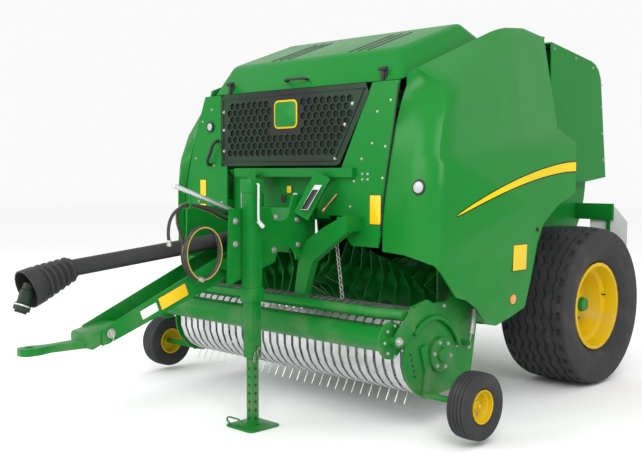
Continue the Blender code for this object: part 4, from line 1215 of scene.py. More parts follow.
@dataclass
class RunningGear:
    """The main wheels and the gauge wheels: tyres, rims, nuts and caps."""

    cap_out: float = 0.16
    cap_r: float = 0.185
    cap_taper: float = 0.8

    def wheel(self, name: str, side: Side, sizes: WheelSizes) -> None:
        """Dresses one wheel.

        Args:
            name: The wheel's body.
            side: The side it is on.
            sizes: Its sizes.
        """
        Tyre(f"{name}_tyre", name, sizes).build()
        skin(f"{name}_rim", Finish.YELLOW, 30.0, sizes.rim_ease)
        x, y, z = middle_of(f"{name}_rim")
        low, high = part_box(f"{name}_tyre")
        s, rim, width = side.value, sizes.rim_r, high[0] - low[0]
        nut = bolt("nut", (x + s * 0.001, y + sizes.nut_ring * rim, z), (s, 0, 0), sizes.nut)
        nuts = repeated(f"{name}_nuts", nut, round_x(y, z, sizes.nuts))
        dressed(nuts, Finish.BOLT, name)
        tip, cap_r = x + s * self.cap_out * width, self.cap_r * rim
        cap = round_bar(f"{name}_cap", (tip - s * 0.01, y, z), (tip + s * sizes.cap_depth, y, z),
                        cap_r, 28, 0.004, cap_r * self.cap_taper)
        dressed(cap, sizes.cap, name)
        if sizes is MAIN_WHEEL:
            stem = round_bar(f"{name}_valve", (x + s * 0.20 * width, y + 0.80 * rim, z + 0.05),
                             (x + s * 0.28 * width, y + 0.76 * rim, z + 0.05), 0.005, 12, 0.001)
            dressed(stem, Finish.BLACK, name)

    def build(self) -> None:
        """Dresses all four wheels."""
        for side in Side:
            self.wheel(f"wheel_{side.tag}", side, MAIN_WHEEL)
            self.wheel(f"gauge_wheel_{side.tag}", side, GAUGE_WHEEL)


# ---------------------------------------------------------------- bodywork


@dataclass
class Grille:
    """The dark grille plate with its six-sided holes, a blank shield, and behind it a near-black
    sheet: painted shade for the dark inside the holes.
    """

    pitch_x: float = 0.0560
    pitch_z: float = 0.0440
    hole: float = 0.0262
    corner: float = 0.030
    plate_half: float = 0.003
    plate_back: float = 0.004
    mesh_back: float = 0.013
    border: tuple[float, float, float, float] = (0.095, 0.075, 0.085, 0.060)
    right_edges: tuple[float, float] = (0.405, 0.650)
    shield_low: tuple[float, float] = (-0.163, 1.728)
    shield_high: tuple[float, float] = (0.047, 1.906)
    shield_gap: tuple[float, float] = (0.030, 0.025)

    def __post_init__(self) -> None:
        """Reads the plate's box from the frame."""
        self.low, self.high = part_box("grille_panel")

    def right_edge(self, z: float) -> float:
        """The plate's slanting right edge at height z."""
        low, high = self.right_edges
        return low + (high - low) * (z - self.low[2]) / (self.high[2] - self.low[2])

    def by_shield(self, x: float, z: float) -> bool:
        """Whether a hole at x and z would touch the shield's plain ground."""
        return all(low - gap < at < high + gap for low, high, gap, at in
                   zip(self.shield_low, self.shield_high, self.shield_gap, (x, z)))

    def outlines(self) -> list[list[tuple[float, float]]]:
        """The plate's edge and its holes.

        Returns:
            Rings of places across and up, the edge first.
        """
        left, _, bottom = self.low
        _, _, top = self.high
        c, foot, head = self.corner, self.right_edge(bottom), self.right_edge(top)
        rings = [[(left + c, bottom), (foot - c, bottom), (foot, bottom + 0.01),
                  (head - 0.012, top - 2 * c), (head - 0.04, top), (left + c, top), (left, top - c),
                  (left, bottom + c)]]
        at_left, at_right, at_bottom, at_top = self.border
        row, z = 0, bottom + at_bottom
        while z < top - at_top:
            x = left + at_left + (self.pitch_x / 2 if row % 2 else 0.0)
            while x < self.right_edge(z) - at_right:
                if not self.by_shield(x, z):
                    rings.append([(x + self.hole * math.cos(math.radians(60 * k + 30)),
                                   z + 0.92 * self.hole * math.sin(math.radians(60 * k + 30)))
                                  for k in range(6)])
                x += self.pitch_x
            z += self.pitch_z
            row += 1
        return rings

    def plate(self) -> None:
        """The pierced plate."""
        curve = bpy.data.curves.new("grille_plate", "CURVE")
        curve.dimensions, curve.fill_mode, curve.extrude = "2D", "BOTH", self.plate_half
        for ring in self.outlines():
            spline = curve.splines.new("POLY")
            spline.points.add(len(ring) - 1)
            for point, (u, v) in zip(spline.points, ring):
                point.co = (u, v, 0, 1)
            spline.use_cyclic_u = True
        obj = bpy.data.objects.new("grille_plate", curve)
        bpy.context.scene.collection.objects.link(obj)
        y = self.low[1] + self.plate_back
        obj.matrix_world = Matrix(((1, 0, 0, 0), (0, 0, -1, y), (0, 1, 0, 0), (0, 0, 0, 1)))
        only(obj)
        bpy.ops.object.convert(target="MESH")
        obj = settled(bpy.context.active_object, "grille_plate")
        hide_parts("grille_panel")
        dressed(obj, Finish.GRILLE, "chassis", 30.0)

    def behind(self) -> None:
        """A near-black sheet behind the holes, painted shade for the dark inside them, and the bead
        round the plate.
        """
        (left, y, bottom), top = self.low, self.high[2]
        foot, head, back = self.right_edge(bottom), self.right_edge(top), y + self.mesh_back
        # Painted shade: a flat near-black sheet set behind the plate stands for the dark seen
        # through the holes.
        mesh = sheet_piece("grille_mesh", [
            (left + 0.02, back, bottom + 0.02), (foot - 0.02, back, bottom + 0.02),
            (head - 0.05, back, top - 0.02), (left + 0.02, back, top - 0.02)], (0, 0.003, 0))
        dressed(mesh, Finish.SHADE, "chassis")
        ring = [(left + 0.025, y, bottom + 0.030), (foot - 0.040, y, bottom + 0.030),
                (head - 0.045, y, top - 0.030), (left + 0.025, y, top - 0.030)]
        dressed(pipe("grille_bead", ring + ring[:1], 0.006, False), Finish.GRILLE, "chassis")

    def shield(self) -> None:
        """The blank shield: a yellow plate with a green face."""
        centre = [(a + b) / 2 for a, b in zip(self.shield_low, self.shield_high)]
        w, h = [b - a for a, b in zip(self.shield_low, self.shield_high)]
        y = self.low[1]
        for name, back, rim, r, thick, finish in (
                ("shield_plate", 0.0, 0.0, 0.035, 0.005, Finish.YELLOW),
                ("shield_face", 0.005, 0.022, 0.026, 0.002, Finish.GREEN)):
            spot = (centre[0], y - back, centre[1])
            edge = rounded(spot, (1, 0, 0), (0, 0, 1), w - rim, h - rim, r)
            dressed(sheet_piece(name, edge, (0, -thick, 0)), finish, "chassis")

    def screws(self) -> None:
        """The screws down both ends of the plate."""
        (left, y, bottom), foot = self.low, self.right_edge(self.low[2]) - self.low[0]
        screw = bolt("screw", (left + 0.035, y, bottom + 0.10), (0, -1, 0), 0.014)
        spots = [(0, 0, 0), (0, 0, 0.14), (0, 0, 0.26), (foot - 0.070, 0, -0.06),
                 (foot + 0.01, 0, 0.14), (foot + 0.07, 0, 0.26)]
        dressed(repeated("grille_screws", screw, spots), Finish.BOLT, "chassis")

    def build(self) -> None:
        """Makes the plate and all that is on it."""
        self.plate()
        self.behind()
        self.shield()
        self.screws()


@dataclass
class Label:
    """A blank yellow label with a black edge, laid on a surface."""

    name: str
    centre: Any
    u: Point
    out: Any
    w: float
    h: float
    body: str
    up: Point = (0, 0, 1)
    thick: float = 0.0012
    lift: float = 0.0006
    edge: float = 0.008

    def build(self) -> None:
        """Makes the black edge and the yellow face."""
        way = Vector(self.out).normalized()
        u = (Vector(self.u) - way * Vector(self.u).dot(way)).normalized()
        up = way.cross(u)
        up = up if up.dot(Vector(self.up)) > 0 else -up
        centre = Vector(self.centre) + way * self.lift
        back = sheet_piece(self.name + "_edge", rounded(centre, u, up, self.w, self.h, 0.006),
                           way * self.thick)
        dressed(back, Finish.BLACK, self.body)
        w, h = self.w - self.edge, self.h - self.edge
        face = rounded(centre + way * self.thick, u, up, w, h, 0.004)
        dressed(sheet_piece(self.name, face, way * 0.6 * self.thick), Finish.LABEL, self.body)


@dataclass
class Hood:
    """The hood with its vents, its handle and its rubber latches."""

    vent_xs: dict[str, tuple[float, ...]] = field(default_factory=lambda: {
        "left": (0.320, 0.395, 0.470), "right": (-0.375, -0.300, -0.225)})
    vent: tuple[float, float] = (0.030, 0.44)
    vent_y: float = -1.42
    slope_start: tuple[float, float] = (-1.655, 2.176)
    slope_end: tuple[float, float] = (-1.085, 2.378)
    front: tuple[float, float] = (-1.735, 2.030)
    latch_xs: dict[str, float] = field(default_factory=lambda: {"right": -0.66, "left": 0.70})

    def vents(self) -> None:
        """Both groups of slots in the hood's sloping top, each a black sheet laid on the hood:
        painted shade for the dark inside the slot.
        """
        (y0, z0), (y1, z1) = self.slope_start, self.slope_end
        slope = (z1 - z0) / (y1 - y0)
        z = z0 + (self.vent_y - y0) * slope + 0.0004
        for tag, xs in self.vent_xs.items():
            edge = rounded((0, y_at(self.vent_y), z), (1, 0, 0), (0, 1, slope), *self.vent, 0.0149)
            # Painted shade: each slot is a black sheet on the hood that stands for its dark
            # opening.
            slot = sheet_piece("slot", edge, (0, 0, 0.0016))
            vents = repeated(f"hood_vents_{tag}", slot, [(x, 0, 0) for x in xs])
            dressed(vents, Finish.BLACK, "hood")

    def handle(self) -> None:
        """The bent handle on the hood's front edge."""
        y, z = y_at(self.front[0]), self.front[1]
        grip = pipe("grip", [
            (-0.11, y, z), (-0.105, y - 0.030, z + 0.004), (-0.02, y - 0.038, z + 0.006),
            (0.065, y - 0.030, z + 0.004), (0.07, y, z)], 0.009)
        dressed(grip, Finish.BLACK, "hood")

    def latches(self) -> None:
        """The rubber latches at both ends of the front edge."""
        y, z = y_at(self.front[0]), self.front[1]
        for tag, x in self.latch_xs.items():
            base = block("base", (x - 0.020, y - 0.016, z - 0.05), (x + 0.020, y + 0.004, z + 0.03),
                         0.004)
            strap = block("strap", (x - 0.011, y - 0.026, z - 0.085),
                          (x + 0.011, y - 0.014, z + 0.02), 0.004)
            knob = round_bar("knob", (x - 0.028, y - 0.022, z + 0.015),
                             (x + 0.028, y - 0.022, z + 0.015), 0.010, 16)
            dressed(joined(f"hood_latch_{tag}", [base, strap, knob]), Finish.SEAL, "hood")

    def build(self) -> None:
        """Makes the hood."""
        skin("hood", Finish.GREEN, 40.0)
        self.vents()
        self.handle()
        self.latches()


@dataclass
class SideCovers:
    """The side covers with the left one's work lamp, and their labels, reflectors and locks."""

    lamp: tuple[float, float] = (1.035, 1.372)
    lamp_r: float = 0.038
    label: tuple[float, float] = (-1.045, 0.945)
    label_size: tuple[float, float] = (0.150, 0.160)
    reflector: tuple[float, float] = (-1.085, 0.695)
    lock: tuple[float, float] = (-0.864, 1.105)

    def work_lamp(self, body: str) -> None:
        """The work lamp on the left cover's front.

        Args:
            body: The cover's body.
        """
        at, out = landed(body, (self.lamp[0], y_at(-3.0), self.lamp[1]), (0, 1, 0))
        bowl = hoop("bowl", at + out * 0.002, out, self.lamp_r, 0.006)
        back = round_bar("back", at - out * 0.006, at + out * 0.005, self.lamp_r - 0.001, 32, 0.001)
        dressed(joined("work_lamp_bezel", [bowl, back]), Finish.BLACK, body)
        lens = round_bar("work_lamp_lens", at + out * 0.001, at + out * 0.013,
                         self.lamp_r - 0.005, 32, 0.005)
        dressed(lens, Finish.CLEAR, body, 60.0)

    def on_face(self, side: Side, spot: tuple[float, float]) -> tuple[Vector, Vector]:
        """A place on a cover's outer face.

        Args:
            side: The cover's side.
            spot: The place's distance behind the axle and its height.

        Returns:
            The place and the face's outward direction.
        """
        start = (side.value * 2.0, y_at(spot[0]), spot[1])
        return landed(f"side_cover_{side.tag}", start, (-side.value, 0, 0))

    def build(self) -> None:
        """Makes both covers."""
        for side in Side:
            tag, body = side.tag, f"side_cover_{side.tag}"
            skin(body, Finish.COVER, 75.0)
            if side is Side.LEFT:
                self.work_lamp(body)
            at, out = self.on_face(side, self.label)
            Label(f"cover_label_{tag}", at, (0, side.value, 0), out, *self.label_size, body).build()
            at, out = self.on_face(side, self.reflector)
            disc = round_bar(f"cover_reflector_{tag}", at - out * 0.002, at + out * 0.006, 0.029,
                             28, 0.002)
            dressed(disc, Finish.AMBER, body)
            at, out = self.on_face(side, self.lock)
            dressed(bolt(f"cover_lock_{tag}", at, out, 0.018), Finish.BLACK, body)


@dataclass
class FrontPanels:
    """What is on the front panels: labels, rivets, a grab handle, a lever, a dial and a seal."""

    rivets: tuple[tuple[float, float], ...] = (
        (0.70, 1.80), (0.66, 1.62), (0.58, 1.53), (0.80, 1.86), (0.76, 1.60), (0.74, 1.42),
        (0.52, 1.40), (0.49, 1.25), (0.585, 1.443), (0.627, 1.443), (0.585, 1.411), (0.627, 1.411),
        (-0.78, 1.50), (-0.80, 1.88), (-0.98, 1.55), (-0.90, 1.80), (-0.70, 1.25), (-0.95, 1.25))
    dial: tuple[float, float] = (-0.811, 1.763)
    dial_r: float = 0.030
    seam: tuple[tuple[float, float], ...] = (
        (0.858, 1.95), (0.820, 1.70), (0.765, 1.40), (0.727, 1.12))
    plate_recess: float = 0.049

    def __post_init__(self) -> None:
        """Reads the panels' front from the frame."""
        self.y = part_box("front_panel_left")[0][1]

    def labels(self) -> None:
        """The blank labels."""
        for name, x, z, w, h in (("panel_label", 0.687, 1.238, 0.090, 0.175),
                                 ("panel_label_right_tall", -0.900, 1.345, 0.070, 0.120),
                                 ("panel_label_right_low", -0.900, 1.225, 0.070, 0.028)):
            Label(name, (x, self.y, z), (1, 0, 0), (0, -1, 0), w, h, "chassis").build()

    def control_plates(self) -> None:
        """The three small plates of the controls."""
        for name, x, z, finish in (("control_plate_grey", -0.030, 1.300, Finish.GREY),
                                   ("control_plate_dark", -0.140, 1.290, Finish.BLACK),
                                   ("control_plate_yellow", -0.085, 1.345, Finish.LABEL)):
            spot = (x, self.y + self.plate_recess, z)
            edge = rounded(spot, (1, 0, 0), (0, 0, 1), 0.040, 0.045, 0.005)
            dressed(sheet_piece(name, edge, (0, -0.002, 0)), finish, "chassis")

    def fittings(self) -> None:
        """The rivets, the grab handle and the copper lever."""
        y = self.y
        rivet = bolt("rivet", (0.0, y, 0.0), (0, -1, 0), 0.011)
        rivets = repeated("panel_rivets", rivet, [(x, 0, z) for x, z in self.rivets])
        dressed(rivets, Finish.BOLT, "chassis")
        handle = pipe("grab_handle", [
            (-0.726, y, 1.665), (-0.730, y - 0.035, 1.655), (-0.770, y - 0.042, 1.585),
            (-0.808, y - 0.035, 1.515), (-0.814, y, 1.503)], 0.011)
        dressed(handle, Finish.BLACK, "chassis")
        rod = round_bar("lever", (0.385, y - 0.004, 1.325), (0.335, y - 0.060, 1.235), 0.006, 16)
        knob = round_bar("knob", (0.338, y - 0.057, 1.240), (0.327, y - 0.070, 1.221), 0.011, 18,
                         0.003)
        dressed(joined("copper_lever", [rod, knob]), Finish.BRASS, "chassis")

    def pressure_dial(self) -> None:
        """The dial with its glass."""
        (x, z), y, r = self.dial, self.y, self.dial_r
        rim = hoop("dial_rim", (x, y - 0.010, z), (0, 1, 0), r, 0.006)
        case = round_bar("dial_case", (x, y, z), (x, y - 0.010, z), r, 28)
        dressed(joined("pressure_dial", [rim, case]), Finish.BLACK, "chassis")
        glass = round_bar("dial_glass", (x, y - 0.009, z), (x, y - 0.013, z), r - 0.004, 28, 0.001)
        dressed(glass, Finish.CLEAR, "chassis")

    def seam_seal(self) -> None:
        """The seal down the seam beside the left cover."""
        seal = pipe("seam_seal", [(x, self.y - 0.002, z) for x, z in self.seam], 0.005)
        dressed(seal, Finish.SEAL, "chassis")

    def build(self) -> None:
        """Makes all that is on the panels."""
        self.labels()
        self.fittings()
        self.pressure_dial()
        self.seam_seal()
        self.control_plates()


@dataclass
class Tailgate:
    """The tailgate's cover, rivets and ribs, and its light boards with their lamps."""

    side_x: float = 0.708
    rivets: tuple[tuple[float, float], ...] = (
        (0.79, 2.12), (0.80, 1.95), (0.82, 1.75), (0.84, 1.55), (0.10, 2.33), (0.40, 2.29),
        (0.66, 2.24))
    lamps: tuple[tuple[str, float, Finish], ...] = (
        ("tail_lamp", 0.985, Finish.RED), ("turn_lamp", 1.080, Finish.AMBER))
    rib_xs: tuple[float, ...] = (-0.45, -0.15, 0.15, 0.45)
    rib_lean: float = (0.888 - 0.786) / (2.165 - 1.415)
    rib_height: float = 1.72

    def lights(self, side: Side) -> None:
        """One side's light bar and board with its lamps.

        Args:
            side: The side.
        """
        board = f"light_board_{side.tag}"
        x, rear = middle_of(board)[0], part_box(board)[1][1]
        skin(board, Finish.WHITE, 30.0)
        for name, z, finish in self.lamps:
            edge = rounded((x, rear, z), (1, 0, 0), (0, 0, 1), 0.17, 0.075, 0.015)
            lamp = sheet_piece(f"{name}_{side.tag}", edge, (0, 0.022, 0), 0.004)
            dressed(lamp, finish, "tailgate")
        skin(f"light_bar_{side.tag}", Finish.GREEN, 30.0, 0.003)

    def build(self) -> None:
        """Makes the tailgate."""
        skin("tailgate_cover", Finish.GREEN, 30.0)
        for side in Side:
            rivet = bolt("rivet", (side.value * self.side_x, 0, 0), (side.value, 0, 0), 0.013)
            spots = [(0, y_at(rel), z) for rel, z in self.rivets]
            dressed(repeated(f"tailgate_rivets_{side.tag}", rivet, spots), Finish.BOLT, "tailgate")
            self.lights(side)
        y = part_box("tailgate_cover")[1][1] - 0.060
        edge = rounded((0, y, self.rib_height), (1, 0, 0), (0, -self.rib_lean, 1), 0.030, 0.50,
                       0.0148)
        rib = sheet_piece("rib", edge, (0, 0.006, 0), 0.002)
        ribs = repeated("tailgate_ribs", rib, [(x, 0.0, 0.0) for x in self.rib_xs])
        dressed(ribs, Finish.GREEN, "tailgate")


# ---------------------------------------------------------------- hitch, stand and shaft


@dataclass
class Drawbar:
    """The drawbar with its label, its blank plate and the hitch eye's pin."""

    run: Point = (0, 1.07, 0.408)
    label_at: Point = (0.100, -2.80, 0.597 + 0.44 * 0.408)
    pin: tuple[float, float] = (-3.20, 0.624)

    def build(self) -> None:
        """Makes the drawbar."""
        skin("drawbar", Finish.GREEN, 30.0, 0.003)
        skin("hitch_eye", Finish.GREEN, 35.0, 0.003)
        run = Vector(self.run).normalized()
        up = Vector((0, -run.z, run.y))
        x, rel, z = self.label_at
        at = Vector((x, y_at(rel), z))
        Label("drawbar_label", at, run, (1, 0, 0), 0.200, 0.078, "chassis", up).build()
        edge = rounded(at - run * 0.170 - up * 0.002, run, up, 0.110, 0.050, 0.006)
        dressed(sheet_piece("maker_plate", edge, (0.0015, 0, 0)), Finish.WHITE, "chassis")
        y, z = y_at(self.pin[0]), self.pin[1]
        pin = joined("hitch_pin", [
            round_bar("pin", (-0.118, y, z), (0.118, y, z), 0.016, 20),
            hoop("pin_ring", (0.116, y, z - 0.018), (0.3, 1, 0), 0.020, 0.003, 24),
            bolt("pin_head", (0.104, y, z), (1, 0, 0), 0.034)])
        dressed(pin, Finish.BOLT, "chassis")


@dataclass
class Stand:
    """The parking stand with its holes, its pin, its crank and its foot's loop."""

    holes: int = 7
    hole_start: float = 0.05
    hole_step: float = 0.048
    hole_r: float = 0.009
    leg_face: float = 0.0245
    lock_z: float = 0.46
    grip_r: float = 0.012

    def __post_init__(self) -> None:
        """Reads the leg's middle from the frame."""
        self.x, self.y, _ = middle_of("stand_leg")

    def leg(self) -> None:
        """The leg's two rows of holes, each a black disc on the face that paints the shade inside
        the hole, and its foot's loop.
        """
        x, y, face, deep = self.x, self.y, self.leg_face, self.leg_face + 0.0017
        rows = []
        for name, a, b in (("front_holes", (x, y - deep, 0), (x, y - face, 0)),
                           ("side_holes", (x + face, y, 0), (x + deep, y, 0))):
            # Painted shade: black discs stand for the dark insides of the leg's holes.
            hole = round_bar("hole", a, b, self.hole_r, 18, 0.0003)
            spots = [(0, 0, self.hole_start + self.hole_step * i) for i in range(self.holes)]
            rows.append(repeated(name, hole, spots))
        dressed(joined("stand_holes", rows), Finish.BLACK, "stand_leg")
        loop = pipe("stand_foot_loop", [
            (x - 0.07, y - 0.100, 0.012), (x - 0.095, y - 0.112, 0.045),
            (x - 0.03, y - 0.113, 0.062), (x + 0.03, y - 0.112, 0.050),
            (x + 0.04, y - 0.100, 0.012)], 0.005)
        dressed(loop, Finish.GREEN, "stand_leg")

    def lock(self) -> None:
        """The pin in the sleeve's side with its ring and its wire."""
        x, y, z = self.x, self.y, self.lock_z
        lock = joined("stand_lock", [
            round_bar("lock_pin", (x + 0.0375, y, z), (x + 0.066, y, z), 0.0085, 16),
            hoop("lock_ring", (x + 0.060, y, z - 0.020), (1, 0.3, 0), 0.021, 0.003, 24),
            pipe("lock_wire", [(x + 0.045, y - 0.020, z - 0.02), (x + 0.050, y - 0.030, z - 0.08),
                               (x + 0.046, y - 0.020, z - 0.05)], 0.0025)])
        dressed(lock, Finish.CHROME, "chassis")

    def crank(self) -> None:
        """The crank at the sleeve's top with its grip."""
        y, top, arm = self.y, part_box("stand_sleeve")[1][2], self.x + 0.052
        bar = pipe("crank", [
            (self.x + 0.038, y, top - 0.030), (arm + 0.004, y, top - 0.030),
            (arm + 0.010, y - 0.004, top - 0.045), (arm + 0.012, y - 0.006, top - 0.22),
            (arm + 0.020, y - 0.010, top - 0.240)], 0.007)
        grip = round_bar("crank_grip", (arm + 0.018, y - 0.010, top - 0.238),
                         (arm + 0.075, y - 0.030, top - 0.262), self.grip_r, 18, 0.003)
        dressed(joined("stand_crank", [bar, grip]), Finish.GREY, "chassis")

    def build(self) -> None:
        """Makes the stand."""
        skin("stand_sleeve", Finish.GREEN, 30.0, 0.003)
        skin("stand_leg", Finish.GREEN, 30.0, 0.002)
        self.leg()
        self.lock()
        self.crank()


@dataclass
class Mast:
    """The mast plates with their bolts, strips and chain, and the hoses' holder."""

    plate_x: float = 0.2
    bolts: tuple[tuple[float, float], ...] = (
        (-2.129, 1.190), (-1.960, 1.170), (-2.145, 0.999), (-1.950, 1.020), (-1.915, 1.250),
        (-2.44, 1.180), (-2.44, 1.050))
    holder_root: Point = (0.180, -2.40, 1.225)
    holder_tip: Point = (0.180, -2.85, 1.385)
    holder_r: float = 0.0127
    chain_top: Point = (0.42, -1.84, 1.02)
    chain_end: Point = (0.520, -1.90, 0.730)
    links: int = 12
    strip: tuple[Point, ...] = (
        (0.246, -1.9685, 1.235), (0.298, -1.9685, 1.235), (0.362, -1.9130, 1.375),
        (0.310, -1.9130, 1.375))
    strip_rim: tuple[tuple[float, float], ...] = (
        (-0.005, -0.004), (0.004, -0.004), (0.005, 0.004), (-0.004, 0.004))

    def chain(self) -> None:
        """The chain's links, each turned a quarter from the last."""
        link = hoop("link", (0, 0, 0), (1, 0, 0), 0.011, 0.0032, 20)
        top, end = behind_axle(self.chain_top), behind_axle(self.chain_end)
        stretch = Matrix.Diagonal((1, 1, 1.35, 1))
        places = []
        for i in range(self.links):
            turn = Matrix.Rotation(math.radians(90 * (i % 2)), 4, "Z")
            places.append(Matrix.Translation(top.lerp(end, i / (self.links - 1))) @ turn @ stretch)
        dressed(repeated("tension_chain", link, places), Finish.BOLT, "chassis")

    def strips(self) -> None:
        """The dark strips on the braces, each on a pale edge."""
        for side in Side:
            s, tag = side.value, side.tag
            inner = [(s * x, y_at(rel), z) for x, rel, z in self.strip][::s]
            outer = [(s * (x + dx), y_at(rel) + 0.0004, z + dz) for (x, rel, z), (dx, dz) in
                     zip(self.strip, self.strip_rim)][::s]
            edge = sheet_piece(f"brace_strip_edge_{tag}", outer, (0, -0.0010, 0.0004))
            dressed(edge, Finish.GREY, "chassis")
            strip = sheet_piece(f"brace_strip_{tag}", inner, (0, -0.0015, 0.0006))
            dressed(strip, Finish.GRILLE, "chassis")

    def build(self) -> None:
        """Makes the mast."""
        skin("mast_frame", Finish.GREEN, 30.0)
        root, tip = behind_axle(self.holder_root), behind_axle(self.holder_tip)
        sleeve = round_bar("hose_holder_sleeve", root.lerp(tip, 0.10), root + (tip - root) * 1.003,
                           self.holder_r, 20, 0.001)
        dressed(sleeve, Finish.STEEL, "chassis")
        head = bolt("head", (self.plate_x, 0, 0), (1, 0, 0), 0.026)
        spots = [(0, y_at(rel), z) for rel, z in self.bolts]
        dressed(repeated("mast_bolts", head, spots), Finish.BOLT, "chassis")
        self.chain()
        self.strips()


@dataclass
class PowerShaft:
    """The power shaft's guard and yoke, and the gearbox and valve block beside it."""

    yoke_run: Point = (0, -0.055, -0.137)
    collar_out: float = 0.035

    def build(self) -> None:
        """Makes the shaft."""
        skin("shaft_guard", Finish.BLACK, 45.0)
        skin("shaft_yoke", Finish.DARK, 40.0)
        skin("gearbox", Finish.GREEN, 35.0, 0.004)
        skin("valve_block", Finish.DARK, 30.0, 0.004)
        way = Vector(self.yoke_run).normalized()
        at = middle_of("shaft_yoke") + way * self.collar_out
        dressed(hoop("yoke_collar", at, way, 0.0405, 0.0045, 36), Finish.STEEL, "shaft_yoke")


# ---------------------------------------------------------------- pickup and carcass


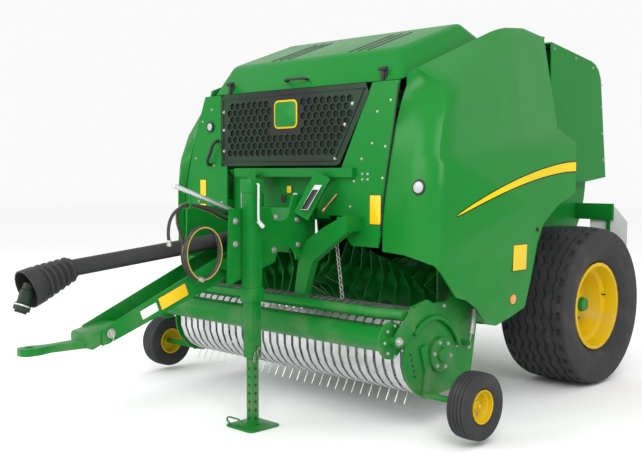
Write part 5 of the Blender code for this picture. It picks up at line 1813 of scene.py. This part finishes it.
@dataclass
class Pickup:
    """The pickup's bands, tubes and arms, the gear on its sides, and the press roller."""

    cam: tuple[float, float] = (-1.640, 0.425)
    cam_r: float = 0.098
    cam_bolt_ring: float = 0.075
    arch: tuple[tuple[float, float], ...] = (
        (-1.885, 0.570), (-1.800, 0.625), (-1.700, 0.645), (-1.600, 0.610), (-1.510, 0.530),
        (-1.470, 0.460))
    bolts: tuple[tuple[str, float, float, float], ...] = (
        ("a", -1.88, 0.590, 0.024), ("b", -1.47, 0.462, 0.024), ("c", -1.36, 0.430, 0.018),
        ("d", -1.33, 0.560, 0.018), ("e", -1.60, 0.700, 0.018))
    spring: tuple[float, float] = (-1.395, 0.52)
    spring_out: float = 0.045
    spring_turns: int = 18
    spring_step: tuple[float, float] = (0.0017, 0.0078)
    roller_bolt_ring: float = 0.083
    roller_bolt_in: float = 0.0115
    strip: tuple[float, float] = (-1.895, 0.455)
    strip_step: tuple[float, float] = (0.010, -0.032)
    strip_holes: int = 5
    ring: Point = (1.047, -1.885, 0.678)
    arm_nut: Point = (1.0593, -2.035, 0.550)

    def cam_housing(self, side: Side, face: float) -> None:
        """The round housing of the reel's cam with its hub and bolts.

        Args:
            side: The side it is on.
            face: The place across of the side plate's outer face.
        """
        s, y, z = side.value, y_at(self.cam[0]), self.cam[1]
        housing = round_bar("housing", (face, y, z), (face + s * 0.024, y, z), self.cam_r, 40,
                            0.004)
        hub = round_bar("hub", (face + s * 0.020, y, z), (face + s * 0.040, y, z), 0.042, 28, 0.004)
        dressed(joined(f"cam_housing_{side.tag}", [housing, hub]), Finish.GREEN, "pickup")
        head = bolt("head", (face + s * 0.024, y, z + self.cam_bolt_ring), (s, 0, 0), 0.016)
        heads = repeated(f"cam_bolts_{side.tag}", head, round_x(y, z, 6, 20.0))
        dressed(heads, Finish.BOLT, "pickup")

    def side_plate(self, side: Side, face: float) -> None:
        """The arched bar and the bolts of one side plate.

        Args:
            side: The side it is on.
            face: The place across of the side plate's outer face.
        """
        s, tag = side.value, side.tag
        arch = [(face + s * 0.016, y_at(rel), z) for rel, z in self.arch]
        bar = pipe(f"side_arch_{tag}", arch, 0.015)
        dressed(bar, Finish.GREEN, "pickup")
        for name, rel, z, size in self.bolts:
            spot = (face + s * 0.001, y_at(rel), z)
            head = bolt(f"side_bolt_{name}_{tag}", spot, (s, 0, 0), size)
            dressed(head, Finish.BOLT, "pickup")

    def relief_spring(self, side: Side, face: float) -> None:
        """The spring that carries the pickup, with its rod and its lug.

        Args:
            side: The side it is on.
            face: The place across of the side plate's outer face.
        """
        s, tag, y, z = side.value, side.tag, y_at(self.spring[0]), self.spring[1]
        x, (dy, dz) = face + s * self.spring_out, self.spring_step
        coil = hoop("coil", (0, 0, 0), (0, 0.25, 1), 0.014, 0.003, 20)
        spots = [(x, y + dy * i, z + dz * i) for i in range(self.spring_turns)]
        dressed(repeated(f"relief_spring_{tag}", coil, spots), Finish.STEEL, "pickup")
        rod = round_bar(f"spring_rod_{tag}", (x, y - 0.015, z - 0.06), (x, y + 0.045, z + 0.20),
                        0.006, 14)
        dressed(rod, Finish.CHROME, "pickup")
        lug = block(f"spring_lug_{tag}", (face, y - 0.030, z - 0.07),
                    (face + s * 0.055, y, z - 0.045), 0.003)
        dressed(lug, Finish.GREEN, "pickup")

    def fittings(self, side: Side, face: float) -> None:
        """The ring, the press roller's end bolts, the row of holes as black dots of painted shade,
        and the roller arm's nut.

        Args:
            side: The side they are on.
            face: The place across of the side plate's outer face.
        """
        s, tag = side.value, side.tag
        x, rel, z = self.ring
        ring = hoop(f"bracket_ring_{tag}", (s * x, y_at(rel), z), (1, 0, 0), 0.026, 0.006, 32)
        dressed(ring, Finish.CHROME, "pickup")
        _, y, z = middle_of("press_roller")
        end = s * (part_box("press_roller")[1][0] - self.roller_bolt_in)
        small = bolt("small", (end, y, z + self.roller_bolt_ring), (-s, 0, 0), 0.012)
        ends = repeated(f"roller_end_bolts_{tag}", small, round_x(y, z, 8))
        dressed(ends, Finish.BOLT, "press_roller")
        # Painted shade: black dots stand for the dark insides of the strip's holes.
        dot = round_bar("dot", (face + s * 0.0002, 0, 0), (face + s * 0.0022, 0, 0), 0.0085, 14,
                        0.0004)
        (rel, z), (dy, dz) = self.strip, self.strip_step
        dots = [(0, y_at(rel + dy * i), z + dz * i) for i in range(self.strip_holes)]
        dressed(repeated(f"holed_strip_{tag}", dot, dots), Finish.BLACK, "pickup")
        x, rel, z = self.arm_nut
        nut = bolt(f"roller_nut_{tag}", (s * x, y_at(rel), z), (s, 0, 0), 0.034)
        dressed(nut, Finish.BOLT, "press_arms")

    def build(self) -> None:
        """Makes the pickup and the press roller."""
        skin("pickup_bands", Finish.STEEL, 40.0)
        skin("front_tube", Finish.GREEN, 45.0)
        skin("press_roller", Finish.GREEN, 40.0, 0.002)
        skin("press_roller_arms", Finish.GREEN, 35.0)
        for side in Side:
            plate = f"pickup_side_{side.tag}"
            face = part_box(plate)[1 if side is Side.LEFT else 0][0]
            self.cam_housing(side, face)
            self.side_plate(side, face)
            self.relief_spring(side, face)
            self.fittings(side, face)
            skin(plate, Finish.GREEN, 30.0)
            skin(f"gauge_arm_{side.tag}", Finish.GREEN, 35.0, 0.002)


@dataclass
class Carcass:
    """The fixed parts and inner parts that only need their finish."""

    green: tuple[str, ...] = (
        "main_frame", "chamber_wall_left", "chamber_wall_right", "chamber_front_drum", "feed_floor",
        "roof_panel", "front_panel_left", "front_panel_right", "front_panel_centre", "feed_rotor",
        "tailgate_drum", "tailgate_side_left", "tailgate_side_right")
    drums: tuple[str, ...] = ("tailgate_drum", "chamber_front_drum")

    def build(self) -> None:
        """Puts each finish on its frame part's slots."""
        finishes = {node: Finish.GREEN for node in self.green}
        finishes.update({"net_box": Finish.DARK, "pickup_reel": Finish.STEEL})
        for node, finish in finishes.items():
            obj = frame["nodes"][node]
            if not obj.material_slots:
                obj.data.materials.append(None)
            for slot in obj.material_slots:
                slot.material = WARDROBE.get(finish)
        for node in self.drums:
            skin(node, Finish.GREEN, 40.0)


def main() -> None:
    """Builds every sub-assembly in order."""
    logging.basicConfig(level=logging.INFO, format="%(message)s", stream=sys.stdout)
    parts: list[Any] = [
        Stage(), Hoses(), Carcass(), RunningGear(), Grille(), Hood(), SideCovers(), FrontPanels(),
        Tailgate(), Drawbar(), Stand(), Mast(), PowerShaft(), Pickup()]
    for part in parts:
        LOG.info("building %s", type(part).__name__)
        part.build()


if __name__ == "__main__":
    main()
